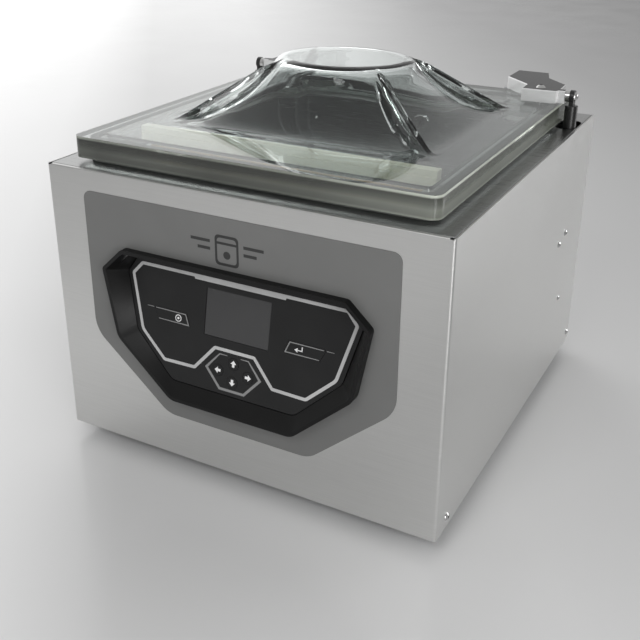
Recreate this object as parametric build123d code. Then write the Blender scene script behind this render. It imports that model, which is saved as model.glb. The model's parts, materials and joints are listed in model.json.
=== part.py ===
from build123d import *
import math
import os

# Tabletop chamber vacuum packing machine, in millimetres.
# +Z is up, +X is to the right seen from the front, and the control panel faces -Y.
# The origin is the middle of the machine's underside, at the level the feet stand on.

# Casing
WIDTH = 400.0
DEPTH = 430.0
BODY_HEIGHT = 277.5
FOOT_HEIGHT = 15.0
SHEET = 1.5
SEAM = 0.7
OVERHANG = 12.0  # how far the bezel stands out in front and the hinge blocks behind
SIDE = WIDTH / 2
INNER_SIDE = SIDE - SHEET
FRONT = -DEPTH / 2
REAR = DEPTH / 2
DECK_TOP = FOOT_HEIGHT + BODY_HEIGHT
DECK_UNDER = DECK_TOP - SHEET
LIP = 3.2  # depth of the bright bend along the top of the front sheet
BASE_UNDER = FOOT_HEIGHT + 1.0
BASE_TOP = BASE_UNDER + SHEET
BASE_RIM = 36.0
FOOT_R = 15.0
FOOT_X = 160.0
FOOT_Y = 172.0

# Lid: a clear plate with a pocket underneath and a raised four-legged dome
LID_HALF = 180.0
LID_FRONT = FRONT + 15.0
LID_REAR = REAR - 30.0
LID_BOTTOM = DECK_TOP + 5.0
LID_TOP = LID_BOTTOM + 20.0
LID_CORNER = 9.0
CEILING = LID_TOP - 8.0  # top of the pocket under the plate
POCKET_HALF = 162.5
POCKET_FRONT = -174.5
POCKET_REAR = 151.0
PAD_HALF = 124.0  # the hinge pads fill the pocket's rear corners outside this
PAD_FRONT = 120.0
GASKET_HALF = 171.0
GASKET_FRONT = -187.0
GASKET_REAR = 168.0
GASKET_WIDE = 8.0
GASKET_TOP = LID_BOTTOM + 4.5

# Dome, as heights above the lid's top face and distances from its own centre
DOME_Y = -2.0
DOME_TALL = 57.5
PLATEAU_FRONT = 56.0  # the plateau's reach to the front and to the side
PLATEAU_SIDE = 66.0
SCOOP_FRONT = 118.0  # where the scoops between the legs run out on the plate
SCOOP_SIDE = 138.0
SCOOP_POWER = 1.9
LEG_ANGLE = math.radians(36.5)
LEG_TALL = 54.6
LEG_SLOPE = 0.568
LEG_REACH = 167.0
LEG_CREST = 5.0
LEG_FLANK = 2.4
# Directions beside a leg's own, in degrees, where the dome's outline is worked out
LEG_SIDE_STEPS = [
    -36.5, -28, -20, -14, -10, -7, -5, -3.2, -1.6, 0, 1.6, 3.2, 5, 7, 10, 14, 20, 28, 37, 45,
]
DOME_WALL = 5.0
DOME_LEVELS = [0.3, 1.5, 4.0, 9.0, 16.0, 25.0, 34.0, 42.0, 48.0, 52.0, 55.0, 57.0]
CAVITY_LEVELS = [0.3, 4.0, 12.0, 22.0, 32.0, 41.0, 48.0, 53.0]

# Chamber tub, stepped in at its rear corners beside the hinges
TUB_HALF = 151.0
TUB_FRONT = -168.0
TUB_REAR = 146.0
NOTCH_HALF = 124.0
NOTCH_FRONT = 122.0
TUB_SHEET = 1.2
TUB_FLOOR = DECK_TOP - 110.0
PORT_X = 25.0
PORT_Z = 273.0
TUB_SCREWS_X = (-112.0, -8.0)
TUB_SCREW_Z = 262.0

# Seal bar in the chamber, and the silicone counter bar above it in the lid
BAR_Y = -129.5
BAR_HALF = 146.0
BAR_WIDE = 16.0
BAR_TOP = DECK_TOP - 10.5
BAR_UNDER = BAR_TOP - 26.0
TAPE_THICK = 0.9
COUNTER_HALF = 152.0
COUNTER_WIDE = 13.0
COUNTER_TOP = CEILING - 6.0
COUNTER_UNDER = COUNTER_TOP - 9.5
LIFT_X = 105.0
LIFT_ROD_R = 5.0
LIFT_TOP = 232.0
LIFT_STOP = 204.0
BAR_LIFT = 10.5

# Hinges: a block on the lid turns about a pin held by two ears on the deck
PIVOT_Y = REAR - 12.0
PIVOT_Z = DECK_TOP + 14.6
BARREL_R = 9.0
BARREL_X = (106.5, 146.0)
EAR_R = 8.0
EARS_X = ((100.0, 105.5), (147.0, 152.5))
PIN_R = 4.0
RUNNING_GAP = 0.05
BLOCK_TALL = 13.0
BRACKET_FOOT = (86.0, 166.0)
BRACKET_SCREWS_X = (92.5, 160.0)
BRACKET_THICK = 3.0
BLOCK_SCREW = (155.0, 149.0)
BLOCK_SCREW_R = 3.0
STEP_X = 182.6  # outer end of the block's tongue, beside the gas spring's stud

# Gas springs: the rod turns on a stud low on the side wall, the tube ends at the lid
SPRING_X = 189.7
STUD_Y = 140.0
STUD_Z = 100.2
STUD_R = 3.0
EYE_Y = 147.0
EYE_Z = 325.0
TUBE_R = 6.65
TUBE_WALL = 1.2
TUBE_START = 30.0  # distances along the spring from the lower stud
TUBE_END = 215.8
ROD_R = 3.0
ROD_END = 160.0
EYE_X = (187.4, 192.0)
SLOT_X = (175.0, 197.2)
SLOT_Y = (136.0, 178.0)

# Control panel, tilted back in its bezel
PANEL_Y = -209.62
PANEL_Z = 165.0
PANEL_TILT = math.radians(10.95)
PANEL_THICK = 3.0
PANEL_GAP = 0.8
BEZEL_TOP_PROUD = 8.0
BEZEL_RIM = 3.5
DECAL_THICK = 0.5
TRIM_WIDE = 3.0
TRIM_THICK = 0.2
DISPLAY_HALF = 33.8
DISPLAY_V = (-10.6, 33.4)
KEY_THICK = 1.6
KEY_PROUD = 0.15
KEY_GAP = 0.3
KEY_TRAVEL = 0.5
ARROW_R = 5.4

# Machinery under the chamber
PUMP_X = (-75.0, 35.0)
PUMP_Y = (30.0, 120.0)
PUMP_Z = (40.0, 130.0)
PUMP_MIDDLE = 75.0
FRAME_Z = (32.0, 36.0)
MOTOR_END = 150.0
MOTOR_R = 42.0
MOTOR_Z = 86.0
FILTER_REAR = 186.0
FILTER_TOP = 148.0
GLASS_X = -20.0
GLASS_Z = 80.0
GLASS_R = 9.8
CAP_PLACE = (-45.0, 150.0)
CAP_TALL = 12.0
HOSE_R = 6.0
BARB_R = 3.9
HOSE_REAR = 192.0
HOSE_LOW = 160.0
HOSE_END_Y = 100.0
TRANSFORMER_PLACE = (-135.0, -100.0)
VALVE_PLACE = (86.0, -48.0)
MAINS_BOARD_X = 168.0

# Rear panel
PANEL_BACK = REAR - SHEET
VENT = (58.0, 5.0)  # length and height of each slot
VENT_COLUMNS = (60.0, 135.0)
VENT_ROWS = 9
VENT_Z = 70.0
VENT_PITCH = 14.0
INLET_X = -140.0
INLET_Z = 62.0
SWITCH_X = -140.0
SWITCH_Z = 106.0
ROCKER_Y = REAR - 3.0
ROCKER_TILT = 9.0
ROCKER_PIN_R = 1.2

# Outlines in X and Z, listed down the right-hand side; the left side mirrors them
BEZEL_SIDE = [(114.0, 224.8), (137.0, 203.3), (123.5, 136.0), (65.0, 84.0)]
BEZEL_RADII = [5.0, 5.0, 15.0, 15.0]
SLEEVE_SIDE = [(111.0, 218.8), (130.5, 200.5), (118.0, 139.5), (62.5, 90.0)]
SLEEVE_RADII = [3.0, 3.0, 10.0, 10.0]
DECAL_SIDE = [(158.5, 273.0), (158.5, 131.0), (76.7, 60.0)]
DECAL_RADII = [8.0, 30.0, 26.0]
# Outlines on the tilted panel, measured from its middle
PANEL_SIDE = [(110.5, 48.9), (122.0, 32.0), (108.0, -22.0), (65.0, -62.3)]
PANEL_RADII = [2.0, 4.0, 12.0, 12.0]
TRIM_SIDE = [(106.4, 42.1), (116.2, 31.1), (102.0, -20.7), (75.3, -44.8), (41.4, -44.1), (20.7, -20.2)]
SIDE_KEY = [(90.0, 4.0), (53.8, 4.0), (49.3, -7.5), (85.0, -7.5)]
ARROWS = {"up": (0.0, -31.4), "down": (0.0, -48.9), "left": (-15.9, -40.4), "right": (15.9, -40.4)}
HINGE_OUTLINE = [
    (107.5, 187.5), (137.4, 158.0), (138.5, 136.0), (174.4, 137.8), (176.0, 142.3), (STEP_X, 142.3),
    (STEP_X, 151.5), (176.0, 151.5), (175.0, 174.4), (150.8, 199.6), (142.7, REAR + OVERHANG),
    (107.5, REAR + OVERHANG),
]
SIDE_HEAD_R = 3.8
SIDE_HEAD_TALL = 2.2
SIDE_SCREWS = [(138.5, 178.8), (114.6, 173.3), (205.7, 28.1), (-191.4, 26.6)]


# ---------------------------------------------------------------- helpers


def block(x0, x1, y0, y1, z0, z1):
    """A box between two corners."""
    return Pos((x0 + x1) / 2, (y0 + y1) / 2, (z0 + z1) / 2) * Box(abs(x1 - x0), y1 - y0, z1 - z0)


def rounded_block(x0, x1, y0, y1, z0, z1, radius):
    """A box whose four upright edges are rounded."""
    face = RectangleRounded(x1 - x0, y1 - y0, radius)
    return extrude(Pos((x0 + x1) / 2, (y0 + y1) / 2, z0) * face, z1 - z0)


def cylinder_x(x0, x1, y, z, radius):
    return Pos((x0 + x1) / 2, y, z) * Rot(0, 90, 0) * Cylinder(radius, abs(x1 - x0))


def cylinder_y(x, y0, y1, z, radius):
    return Pos(x, (y0 + y1) / 2, z) * Rot(90, 0, 0) * Cylinder(radius, y1 - y0)


def cylinder_z(x, y, z0, z1, radius):
    return Pos(x, y, (z0 + z1) / 2) * Cylinder(radius, z1 - z0)


def mirrored(shape):
    """The same shape on the other side of the machine."""
    return mirror(shape, about=Plane.YZ)


def group(shapes):
    """Several separate solids that share one node."""
    return Compound(children=[solid for shape in shapes for solid in shape.solids()])


def both_sides(shape):
    return group([shape, mirrored(shape)])


def symmetric(right_side):
    """A closed outline, or its list of radii, from the right-hand half."""
    if isinstance(right_side[0], tuple):
        return right_side + [(-x, z) for x, z in reversed(right_side)]
    return right_side + right_side[::-1]


def outline(points, radii=None):
    """A flat face through the points, each corner rounded by its own radius."""
    face = make_face(Polyline(*points, close=True))
    for point, radius in zip(points, radii or []):
        corner = face.vertices().sort_by_distance((point[0], point[1], 0))[0]
        face = fillet(corner, radius)
    return face


def facing_front(y):
    """The plane parallel to the front face at y, seen from the front."""
    return Plane(origin=(0, y, 0), x_dir=(1, 0, 0), z_dir=(0, -1, 0))


def front_prism(face, y0, y1):
    """A flat face in X and Z, filled from y0 to y1."""
    return extrude(facing_front(y0) * face, -(y1 - y0))


def plan_prism(points, z0, z1, grow=0.0, radius=None):
    """An outline seen from above, grown by a margin and filled from z0 to z1."""
    face = outline(points, [radius] * len(points) if radius else None)
    if grow:
        face = offset(face, grow, kind=Kind.INTERSECTION)
    return extrude(Pos(0, 0, z0) * face, z1 - z0)


def dome_screw(x, y, z, direction, head_r=2.9, head_tall=1.8, shank_r=1.8, shank=3.0):
    """A low domed head with a hexagon recess; the head's flat underside is at the point."""
    ball_r = (head_r ** 2 + head_tall ** 2) / (2 * head_tall)
    head = Pos(0, 0, head_tall - ball_r) * Sphere(ball_r)
    head = head & Pos(0, 0, ball_r) * Box(4 * ball_r, 4 * ball_r, 2 * ball_r)
    recess = Pos(0, 0, head_tall) * extrude(RegularPolygon(head_r * 0.42, 6), -head_tall * 0.7)
    screw = head - recess + Pos(0, 0, -shank / 2) * Cylinder(shank_r, shank)
    return Plane(origin=(x, y, z), z_dir=direction) * screw


def ring(points, inner_grow, outer_grow, z0, z1, radius):
    """A closed band around an outline seen from above."""
    outer = plan_prism(points, z0, z1, outer_grow, radius)
    return outer - plan_prism(points, z0 - 1, z1 + 1, inner_grow, radius)


# ---------------------------------------------------------------- casing


def casing_wrap():
    """Front and both sides bent from one sheet, with a narrow lip along the front's top edge."""
    outer = block(-SIDE, SIDE, FRONT, REAR, FOOT_HEIGHT, DECK_TOP)
    outer = fillet(outer.edges().filter_by(Axis.Z).group_by(Axis.Y)[0], 3.0)
    inner = block(-INNER_SIDE, INNER_SIDE, FRONT + SHEET, REAR + 1, FOOT_HEIGHT - 1, DECK_TOP + 1)
    inner = fillet(inner.edges().filter_by(Axis.Z).group_by(Axis.Y)[0], 1.5)
    wrap = outer - inner
    wrap = wrap + block(-SIDE + 5, SIDE - 5, FRONT + SHEET / 2, FRONT + LIP, DECK_UNDER, DECK_TOP)
    for side in (1, -1):
        wrap = wrap - Pos(side * (SIDE - 3.2), FRONT + 2, DECK_TOP) * Box(3.6, 6, 2.4)
    long_edges = wrap.edges().filter_by(Axis.X).group_by(Axis.Z)[-1].group_by(Axis.Y)[0]
    wrap = fillet(long_edges.sort_by(Edge.length)[-1:], 1.2)
    for side in (1, -1):
        wrap = wrap - Pos(side * SIDE, REAR - 4.5, FOOT_HEIGHT) * Box(10, 9, 6)
        for y, z in SIDE_SCREWS:
            wrap = wrap - cylinder_x(side * (SIDE - 3), side * (SIDE + 1), y, z, 2.0)
        wrap = wrap - cylinder_x(side * (SIDE - 3), side * (SIDE + 1), STUD_Y, STUD_Z, STUD_R + 0.1)
    return wrap - front_prism(sleeve_face(), FRONT - 1, FRONT + 3)


def tub_outline():
    wide = [(TUB_HALF, TUB_FRONT), (TUB_HALF, NOTCH_FRONT)]
    narrow = [(NOTCH_HALF, NOTCH_FRONT), (NOTCH_HALF, TUB_REAR)]
    return symmetric(wide + narrow)


def deck_plate():
    """The top plate with turned-down edges, open over the chamber and around the gas springs."""
    half = INNER_SIDE - SEAM
    front = FRONT + LIP + SEAM
    rear = PANEL_BACK - 0.5
    plate = block(-half, half, front, rear, DECK_TOP - 14, DECK_TOP)
    plate = fillet(plate.edges().group_by(Axis.Z)[-1], 0.8)
    plate = plate - block(-half + SHEET, half - SHEET, front + SHEET, rear - SHEET, 0, DECK_UNDER)
    plate = plate - plan_prism(tub_outline(), DECK_UNDER - 1, DECK_TOP + 1, radius=4.0)
    for x, z in rear_screw_places()[1::2]:
        plate = plate - cylinder_y(x, rear - 3, rear + 1, z, 2.0)
    for side in (1, -1):
        slot = rounded_block(*SLOT_X, *SLOT_Y, DECK_TOP - 15, DECK_TOP + 1, 11.0)
        plate = plate - (slot if side > 0 else mirrored(slot))
        for x in BRACKET_SCREWS_X:
            plate = plate - cylinder_z(side * x, PIVOT_Y - 3, DECK_UNDER - 1, DECK_TOP + 1, 2.7)
    return plate


def rear_panel():
    half = INNER_SIDE - 0.2
    panel = block(-half, half, PANEL_BACK, REAR, FOOT_HEIGHT + 0.5, DECK_TOP - 0.5)
    vent = Rot(90, 0, 0) * extrude(SlotOverall(*VENT), 5, both=True)
    for x in VENT_COLUMNS:
        for row in range(VENT_ROWS):
            panel = panel - Pos(x, REAR, VENT_Z + VENT_PITCH * row) * vent
    panel = panel - block(INLET_X - 14, INLET_X + 14, REAR - 5, REAR + 1, INLET_Z - 10.5, INLET_Z + 10.5)
    panel = panel - block(SWITCH_X - 8, SWITCH_X + 8, REAR - 5, REAR + 1, SWITCH_Z - 12.5, SWITCH_Z + 12.5)
    for x, z in rear_screw_places():
        panel = panel - cylinder_y(x, REAR - 5, REAR + 1, z, 2.0)
    return panel


def rear_screw_places():
    return [(x, z) for x in (-188.0, 0.0, 188.0) for z in (27.0, 282.0)]


def base_plate():
    """A shallow tray that closes the underside."""
    half = INNER_SIDE - 0.1
    front = FRONT + SHEET + 0.1
    rear = PANEL_BACK - 0.1
    tray = block(-half, half, front, rear, BASE_UNDER, BASE_RIM)
    tray = fillet(tray.edges().filter_by(Axis.Z), 2.5)
    tray = tray - block(-half + SHEET, half - SHEET, front + SHEET, rear - SHEET, BASE_TOP, BASE_RIM + 1)
    for side in (1, -1):
        for y, z in SIDE_SCREWS[2:]:
            tray = tray - cylinder_x(side * (SIDE - 5), side * SIDE, y, z, 2.0)
        for y in (-FOOT_Y, FOOT_Y):
            tray = tray - cylinder_z(side * FOOT_X, y, 0, BASE_RIM, 2.7)
    for x in (-188.0, 0.0, 188.0):
        tray = tray - cylinder_y(x, rear - 3, rear + 1, 27.0, 2.0)
    return tray


def rubber_feet():
    foot = Pos(FOOT_X, FOOT_Y, BASE_UNDER / 2) * Cone(FOOT_R - 2.5, FOOT_R, BASE_UNDER)
    foot = fillet(foot.edges().group_by(Axis.Z)[0], 1.5)
    foot = foot - cylinder_z(FOOT_X, FOOT_Y, -1, 8, 6.0) - cylinder_z(FOOT_X, FOOT_Y, 7, 20, 2.7)
    front_foot = Pos(0, -2 * FOOT_Y, 0) * foot
    return group([foot, mirrored(foot), front_foot, mirrored(front_foot)])


def foot_screws():
    screws = []
    for x in (-FOOT_X, FOOT_X):
        for y in (-FOOT_Y, FOOT_Y):
            screws.append(dome_screw(x, y, 8.0, (0, 0, -1), 4.8, 2.6, 2.5, 14.0))
    return group(screws)


def casing_screws():
    """The small domed screws in the sides, the rear panel and the chamber's rear wall."""
    heads = [dome_screw(SIDE, y, z, (1, 0, 0), SIDE_HEAD_R, SIDE_HEAD_TALL) for y, z in SIDE_SCREWS]
    sides = both_sides(group(heads))
    rear = [dome_screw(x, REAR, z, (0, 1, 0)) for x, z in rear_screw_places()]
    chamber = [dome_screw(x, TUB_REAR, TUB_SCREW_Z, (0, -1, 0)) for x in TUB_SCREWS_X]
    return group([sides] + rear + chamber)


# ---------------------------------------------------------------- control panel

PANEL = Plane(
    origin=(0, PANEL_Y, PANEL_Z),
    x_dir=(1, 0, 0),
    z_dir=(0, -math.cos(PANEL_TILT), math.sin(PANEL_TILT)),
)
BEZEL_TILT = math.atan((OVERHANG - BEZEL_TOP_PROUD) / (BEZEL_SIDE[0][1] - BEZEL_SIDE[3][1]))
BEZEL_FACE = Plane(
    origin=(0, FRONT - OVERHANG, BEZEL_SIDE[3][1]),
    x_dir=(1, 0, 0),
    z_dir=(0, -math.cos(BEZEL_TILT), math.sin(BEZEL_TILT)),
)


def panel_prism(face, high, low):
    """A face on the tilted panel, filled between two heights over the panel's surface."""
    return extrude(PANEL.offset(high) * face, -(high - low))


def panel_face(grow=0.0):
    face = outline(symmetric(PANEL_SIDE), symmetric(PANEL_RADII))
    return offset(face, grow) if grow else face


def sleeve_face(grow=0.0):
    face = outline(symmetric(SLEEVE_SIDE), symmetric(SLEEVE_RADII))
    return offset(face, grow) if grow else face


def decal_plate():
    """The dark printed plate on the front."""
    face = outline(symmetric(DECAL_SIDE), symmetric(DECAL_RADII))
    return front_prism(face, FRONT - DECAL_THICK, FRONT) - front_prism(sleeve_face(), FRONT - 1, FRONT + 1)


def control_bezel():
    """A moulded frame: a sloping rim in front of the casing and a sleeve behind it."""
    rim = outline(symmetric(BEZEL_SIDE), symmetric(BEZEL_RADII))
    bezel = front_prism(rim, FRONT - OVERHANG - 1, FRONT - DECAL_THICK)
    bezel = bezel + front_prism(sleeve_face(-0.3), FRONT - DECAL_THICK - 1, FRONT + 23)
    bezel = bezel - extrude(BEZEL_FACE * Rectangle(400, 500), 10)
    rim_from_bottom = [(x, (z - BEZEL_SIDE[3][1]) / math.cos(BEZEL_TILT)) for x, z in BEZEL_SIDE]
    mouth = offset(outline(symmetric(rim_from_bottom), symmetric(BEZEL_RADII)), -BEZEL_RIM)
    well = panel_face(PANEL_GAP)
    bezel = bezel - loft([BEZEL_FACE * mouth, PANEL * well], ruled=True)
    bezel = bezel - extrude(BEZEL_FACE * mouth, 3)
    bezel = bezel - panel_prism(well, 0.01, -PANEL_THICK)
    return bezel - panel_prism(panel_face(-4.0), 0.0, -60.0)


def side_key_points(side):
    """The outline of the key left (-1) or right (+1) of the display."""
    points = [(side * x, v) for x, v in SIDE_KEY]
    return points if side < 0 else points[::-1]


def key_face(name, grow=0.0):
    if name in ARROWS:
        x, v = ARROWS[name]
        return Pos(x, v) * Circle(ARROW_R + grow)
    points = side_key_points(-1 if name == "stop" else 1)
    return offset(outline(points, [1.2] * 4), grow) if grow else outline(points, [1.2] * 4)


KEYS = ["stop", "enter", "up", "down", "left", "right"]


def control_panel():
    panel = panel_prism(panel_face(), 0, -PANEL_THICK)
    middle = (DISPLAY_V[0] + DISPLAY_V[1]) / 2
    tall = DISPLAY_V[1] - DISPLAY_V[0]
    panel = panel - panel_prism(Pos(0, middle) * Rectangle(2 * DISPLAY_HALF, tall), 1, -PANEL_THICK - 1)
    for name in KEYS:
        panel = panel - panel_prism(key_face(name, KEY_GAP), 1, KEY_PROUD - KEY_THICK - KEY_TRAVEL - 0.15)
    return panel


def key(name):
    return panel_prism(key_face(name), KEY_PROUD, KEY_PROUD - KEY_THICK)


def panel_trim():
    """The bright line that frames the panel, thicker in the middle of its top run."""
    line = outline(symmetric(TRIM_SIDE), symmetric([2.0, 2.0, 10.0, 4.0, 2.0, 2.0]))
    band = offset(line, TRIM_WIDE / 2) - offset(line, -TRIM_WIDE / 2)
    top = TRIM_SIDE[0][1] + TRIM_WIDE / 2
    half = 47.0
    tab = outline([(-half - 2, top), (half + 2, top), (half, top - 4.8), (-half, top - 4.8)])
    return panel_prism(band + tab, TRIM_THICK, 0)


def display_parts():
    middle = (DISPLAY_V[0] + DISPLAY_V[1]) / 2
    tall = DISPLAY_V[1] - DISPLAY_V[0]
    window = panel_prism(Pos(0, middle) * Rectangle(2 * DISPLAY_HALF - 0.3, tall - 0.3), -0.7, -2.0)
    module = panel_prism(Pos(0, middle) * Rectangle(2 * DISPLAY_HALF + 8, tall + 8), -3.2, -9.0)
    return window, module


def control_board():
    """The circuit board behind the panel on its four spacers."""
    board = panel_prism(Pos(0, -2) * Rectangle(140, 72), -14, -15.6)
    for x in (-64, 64):
        for v in (-32, 28):
            board = board + panel_prism(Pos(x, v) * Circle(3.0), -PANEL_THICK, -14)
    return board + panel_prism(Pos(40, -20) * Rectangle(22, 22), -15.6, -19)


# ---------------------------------------------------------------- chamber


def chamber_tub():
    """A welded sheet tub hung under the deck by its flange."""
    outer = plan_prism(tub_outline(), TUB_FLOOR - TUB_SHEET, DECK_UNDER, TUB_SHEET)
    flange = plan_prism(tub_outline(), DECK_UNDER - TUB_SHEET, DECK_UNDER, 9.0)
    inner = plan_prism(tub_outline(), TUB_FLOOR, DECK_UNDER + 1, radius=4.0)
    inner = fillet(inner.edges().group_by(Axis.Z)[0], 3.0)
    tub = outer + flange - inner
    tub = tub - cylinder_y(PORT_X, TUB_REAR - 2, TUB_REAR + 3, PORT_Z, 6.0)
    for x in TUB_SCREWS_X:
        tub = tub - cylinder_y(x, TUB_REAR - 2, TUB_REAR + 3, TUB_SCREW_Z, 2.0)
    for x in (-LIFT_X, LIFT_X):
        tub = tub - cylinder_z(x, BAR_Y, TUB_FLOOR - 3, TUB_FLOOR + 2, 4.0)
    return tub


def suction_port():
    """The round fitting on the chamber's rear wall, with a barb for the hose behind."""
    face = cylinder_y(PORT_X, TUB_REAR - 3, TUB_REAR, PORT_Z, 10.0)
    face = fillet(face.edges().group_by(Axis.Y)[0], 1.2)
    face = face + cylinder_y(PORT_X, TUB_REAR - 0.5, TUB_REAR + 4, PORT_Z, 6.0)
    face = face + cylinder_y(PORT_X, TUB_REAR + TUB_SHEET, TUB_REAR + 7, PORT_Z, 9.0)
    face = face + cylinder_y(PORT_X, TUB_REAR + 6, TUB_REAR + 26, PORT_Z, BARB_R)
    return face - cylinder_y(PORT_X, TUB_REAR - 5, TUB_REAR + 30, PORT_Z, 2.6)


def seal_bar_body():
    body = block(-BAR_HALF, BAR_HALF, BAR_Y - BAR_WIDE / 2, BAR_Y + BAR_WIDE / 2, BAR_UNDER, BAR_TOP)
    body = fillet(body.edges().filter_by(Axis.Z), 2.0)
    for side in (1, -1):
        groove_y = BAR_Y + side * BAR_WIDE / 2
        body = body - Pos(0, groove_y, BAR_UNDER + 11) * Box(2 * BAR_HALF + 2, 4, 8)
    return body


def heating_wire():
    return block(-BAR_HALF + 6, BAR_HALF - 6, BAR_Y - 2, BAR_Y + 2, BAR_TOP, BAR_TOP + 0.4)


def seal_tape():
    tape = block(-BAR_HALF + 6, BAR_HALF - 6, BAR_Y - 7, BAR_Y + 7, BAR_TOP, BAR_TOP + TAPE_THICK)
    return tape - block(-BAR_HALF, BAR_HALF, BAR_Y - 2.2, BAR_Y + 2.2, BAR_TOP - 1, BAR_TOP + 0.45)


def lift_rods():
    rods = [cylinder_z(x, BAR_Y, LIFT_STOP + 0.3, BAR_UNDER, LIFT_ROD_R) for x in (-LIFT_X, LIFT_X)]
    return group(rods)


def lift_cylinders():
    shapes = []
    for x in (-LIFT_X, LIFT_X):
        body = cylinder_z(x, BAR_Y, TUB_FLOOR, LIFT_TOP, 13.0)
        body = chamfer(body.edges().group_by(Axis.Z)[-1], 1.5)
        body = body + cylinder_z(x, BAR_Y, TUB_FLOOR - 8, TUB_FLOOR + 1, BARB_R)
        shapes.append(body - cylinder_z(x, BAR_Y, LIFT_STOP, LIFT_TOP + 1, LIFT_ROD_R + RUNNING_GAP))
    return group(shapes)


# ---------------------------------------------------------------- lid


def smooth_max(a, b, blend):
    """The larger of two heights, with a rounded hollow where they meet."""
    h = max(blend - abs(a - b), 0.0) / blend
    return max(a, b) + h * h * blend / 4


def smooth_min(a, b, blend):
    return -smooth_max(-a, -b, blend)


def dome_height(radius, angle):
    """Height of the dome over the lid's top face, at a distance and bearing from its centre."""
    bearing = math.atan2(abs(math.sin(angle)), abs(math.cos(angle)))
    sine, cosine = math.sin(bearing), math.cos(bearing)
    edge = PLATEAU_SIDE + (PLATEAU_FRONT - PLATEAU_SIDE) * sine ** 2
    run_out = 1 / math.hypot(cosine ** 4 / SCOOP_SIDE ** 4, sine ** 4 / SCOOP_FRONT ** 4) ** 0.25
    left = (run_out - radius) / (run_out - edge)
    scoop = smooth_min(DOME_TALL, DOME_TALL * left * abs(left) ** (SCOOP_POWER - 1), 8.0)
    along = radius * math.cos(bearing - LEG_ANGLE)
    across = radius * math.sin(bearing - LEG_ANGLE)
    crest = smooth_min(LEG_TALL, LEG_SLOPE * (LEG_REACH - along), 10.0)
    leg = crest - math.hypot(LEG_CREST, LEG_FLANK * across) + LEG_CREST
    return smooth_max(smooth_max(scoop, leg, 3.0), 0.0, 1.5)


def dome_radius(level, angle):
    """How far out the dome's surface is at one height, found by halving."""
    near, far = 0.0, 230.0
    for _ in range(40):
        middle = (near + far) / 2
        if dome_height(middle, angle) > level:
            near = middle
        else:
            far = middle
    return near


def dome_bearings():
    """Directions all round, closest together across each leg."""
    quarter = [math.degrees(LEG_ANGLE) + step for step in LEG_SIDE_STEPS]
    half = quarter + [180 - angle for angle in reversed(quarter[1:])]
    return [math.radians(angle) for angle in half + [180 + angle for angle in half]]


def dome_section(level, z, shrink=0.0):
    """The dome's outline at one height, as a smooth closed curve."""
    points = []
    for angle in dome_bearings():
        radius = max(dome_radius(level, angle) - shrink, 2.0)
        points.append((radius * math.cos(angle), radius * math.sin(angle)))
    return Pos(0, DOME_Y, z) * make_face(Spline(*points, periodic=True))


def dome(levels, lift, shrink):
    sections = [dome_section(level, LID_TOP + level + lift, shrink) for level in levels]
    return loft(sections, ruled=True)


def pocket_outline():
    wide = [(POCKET_HALF, POCKET_FRONT), (POCKET_HALF, PAD_FRONT)]
    narrow = [(PAD_HALF, PAD_FRONT), (PAD_HALF, POCKET_REAR)]
    return symmetric(wide + narrow)


def gasket_outline():
    return symmetric([(GASKET_HALF, GASKET_FRONT), (GASKET_HALF, GASKET_REAR)])


def lid_shell():
    """The clear plate, hollow underneath, with the dome raised from its middle."""
    plate = rounded_block(-LID_HALF, LID_HALF, LID_FRONT, LID_REAR, LID_BOTTOM, LID_TOP, LID_CORNER)
    plate = fillet(plate.edges().group_by(Axis.Z)[-1], 1.5)
    shell = plate + dome(DOME_LEVELS, -0.4, 0.0)
    shell = shell - plan_prism(pocket_outline(), LID_BOTTOM - 1, CEILING, radius=4.0)
    shell = shell - dome(CAVITY_LEVELS, -DOME_WALL, DOME_WALL)
    shell = shell - extrude(dome_section(0.3, CEILING - 1, DOME_WALL), LID_TOP - CEILING - DOME_WALL + 1.31)
    groove = GASKET_WIDE / 2 + 0.2
    shell = shell - ring(gasket_outline(), -groove, groove, LID_BOTTOM - 1, GASKET_TOP, 12.0)
    rail = block(-COUNTER_HALF, COUNTER_HALF, BAR_Y - 5, BAR_Y + 5, COUNTER_TOP, CEILING + 1)
    shell = shell + rail
    for side in (1, -1):
        x, y = BLOCK_SCREW
        shell = shell - cylinder_z(side * x, y, LID_BOTTOM - 1, LID_TOP + 1, BLOCK_SCREW_R + 0.1)
    return shell


def lid_gasket():
    half = GASKET_WIDE / 2
    return ring(gasket_outline(), -half, half, DECK_TOP + 0.3, GASKET_TOP, 12.0)


def counter_bar():
    y0 = BAR_Y - COUNTER_WIDE / 2
    bar = block(-COUNTER_HALF, COUNTER_HALF, y0, y0 + COUNTER_WIDE, COUNTER_UNDER, COUNTER_TOP)
    return fillet(bar.edges().filter_by(Axis.Z), 2.0)


# ---------------------------------------------------------------- hinges


def hinge_block():
    """The right-hand block on the lid, with its barrel underneath around the pin."""
    body = plan_prism(HINGE_OUTLINE, LID_TOP, LID_TOP + BLOCK_TALL)
    body = chamfer(body.edges().group_by(Axis.Z)[-1], 0.8)
    body = body + cylinder_x(*BARREL_X, PIVOT_Y, PIVOT_Z, BARREL_R)
    body = body + block(*BARREL_X, PIVOT_Y - 7.5, PIVOT_Y + 7.5, PIVOT_Z, LID_TOP + 0.5)
    body = body - cylinder_x(BARREL_X[0] - 1, BARREL_X[1] + 1, PIVOT_Y, PIVOT_Z, PIN_R + RUNNING_GAP)
    x, y = BLOCK_SCREW
    return body - cylinder_z(x, y, LID_TOP - 1, LID_TOP + BLOCK_TALL + 1, BLOCK_SCREW_R + 0.1)


def hinge_block_screws():
    x, y = BLOCK_SCREW
    screw = dome_screw(x, y, LID_TOP + BLOCK_TALL, (0, 0, 1), 4.8, 3.0, BLOCK_SCREW_R, 30.0)
    return both_sides(screw)


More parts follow.
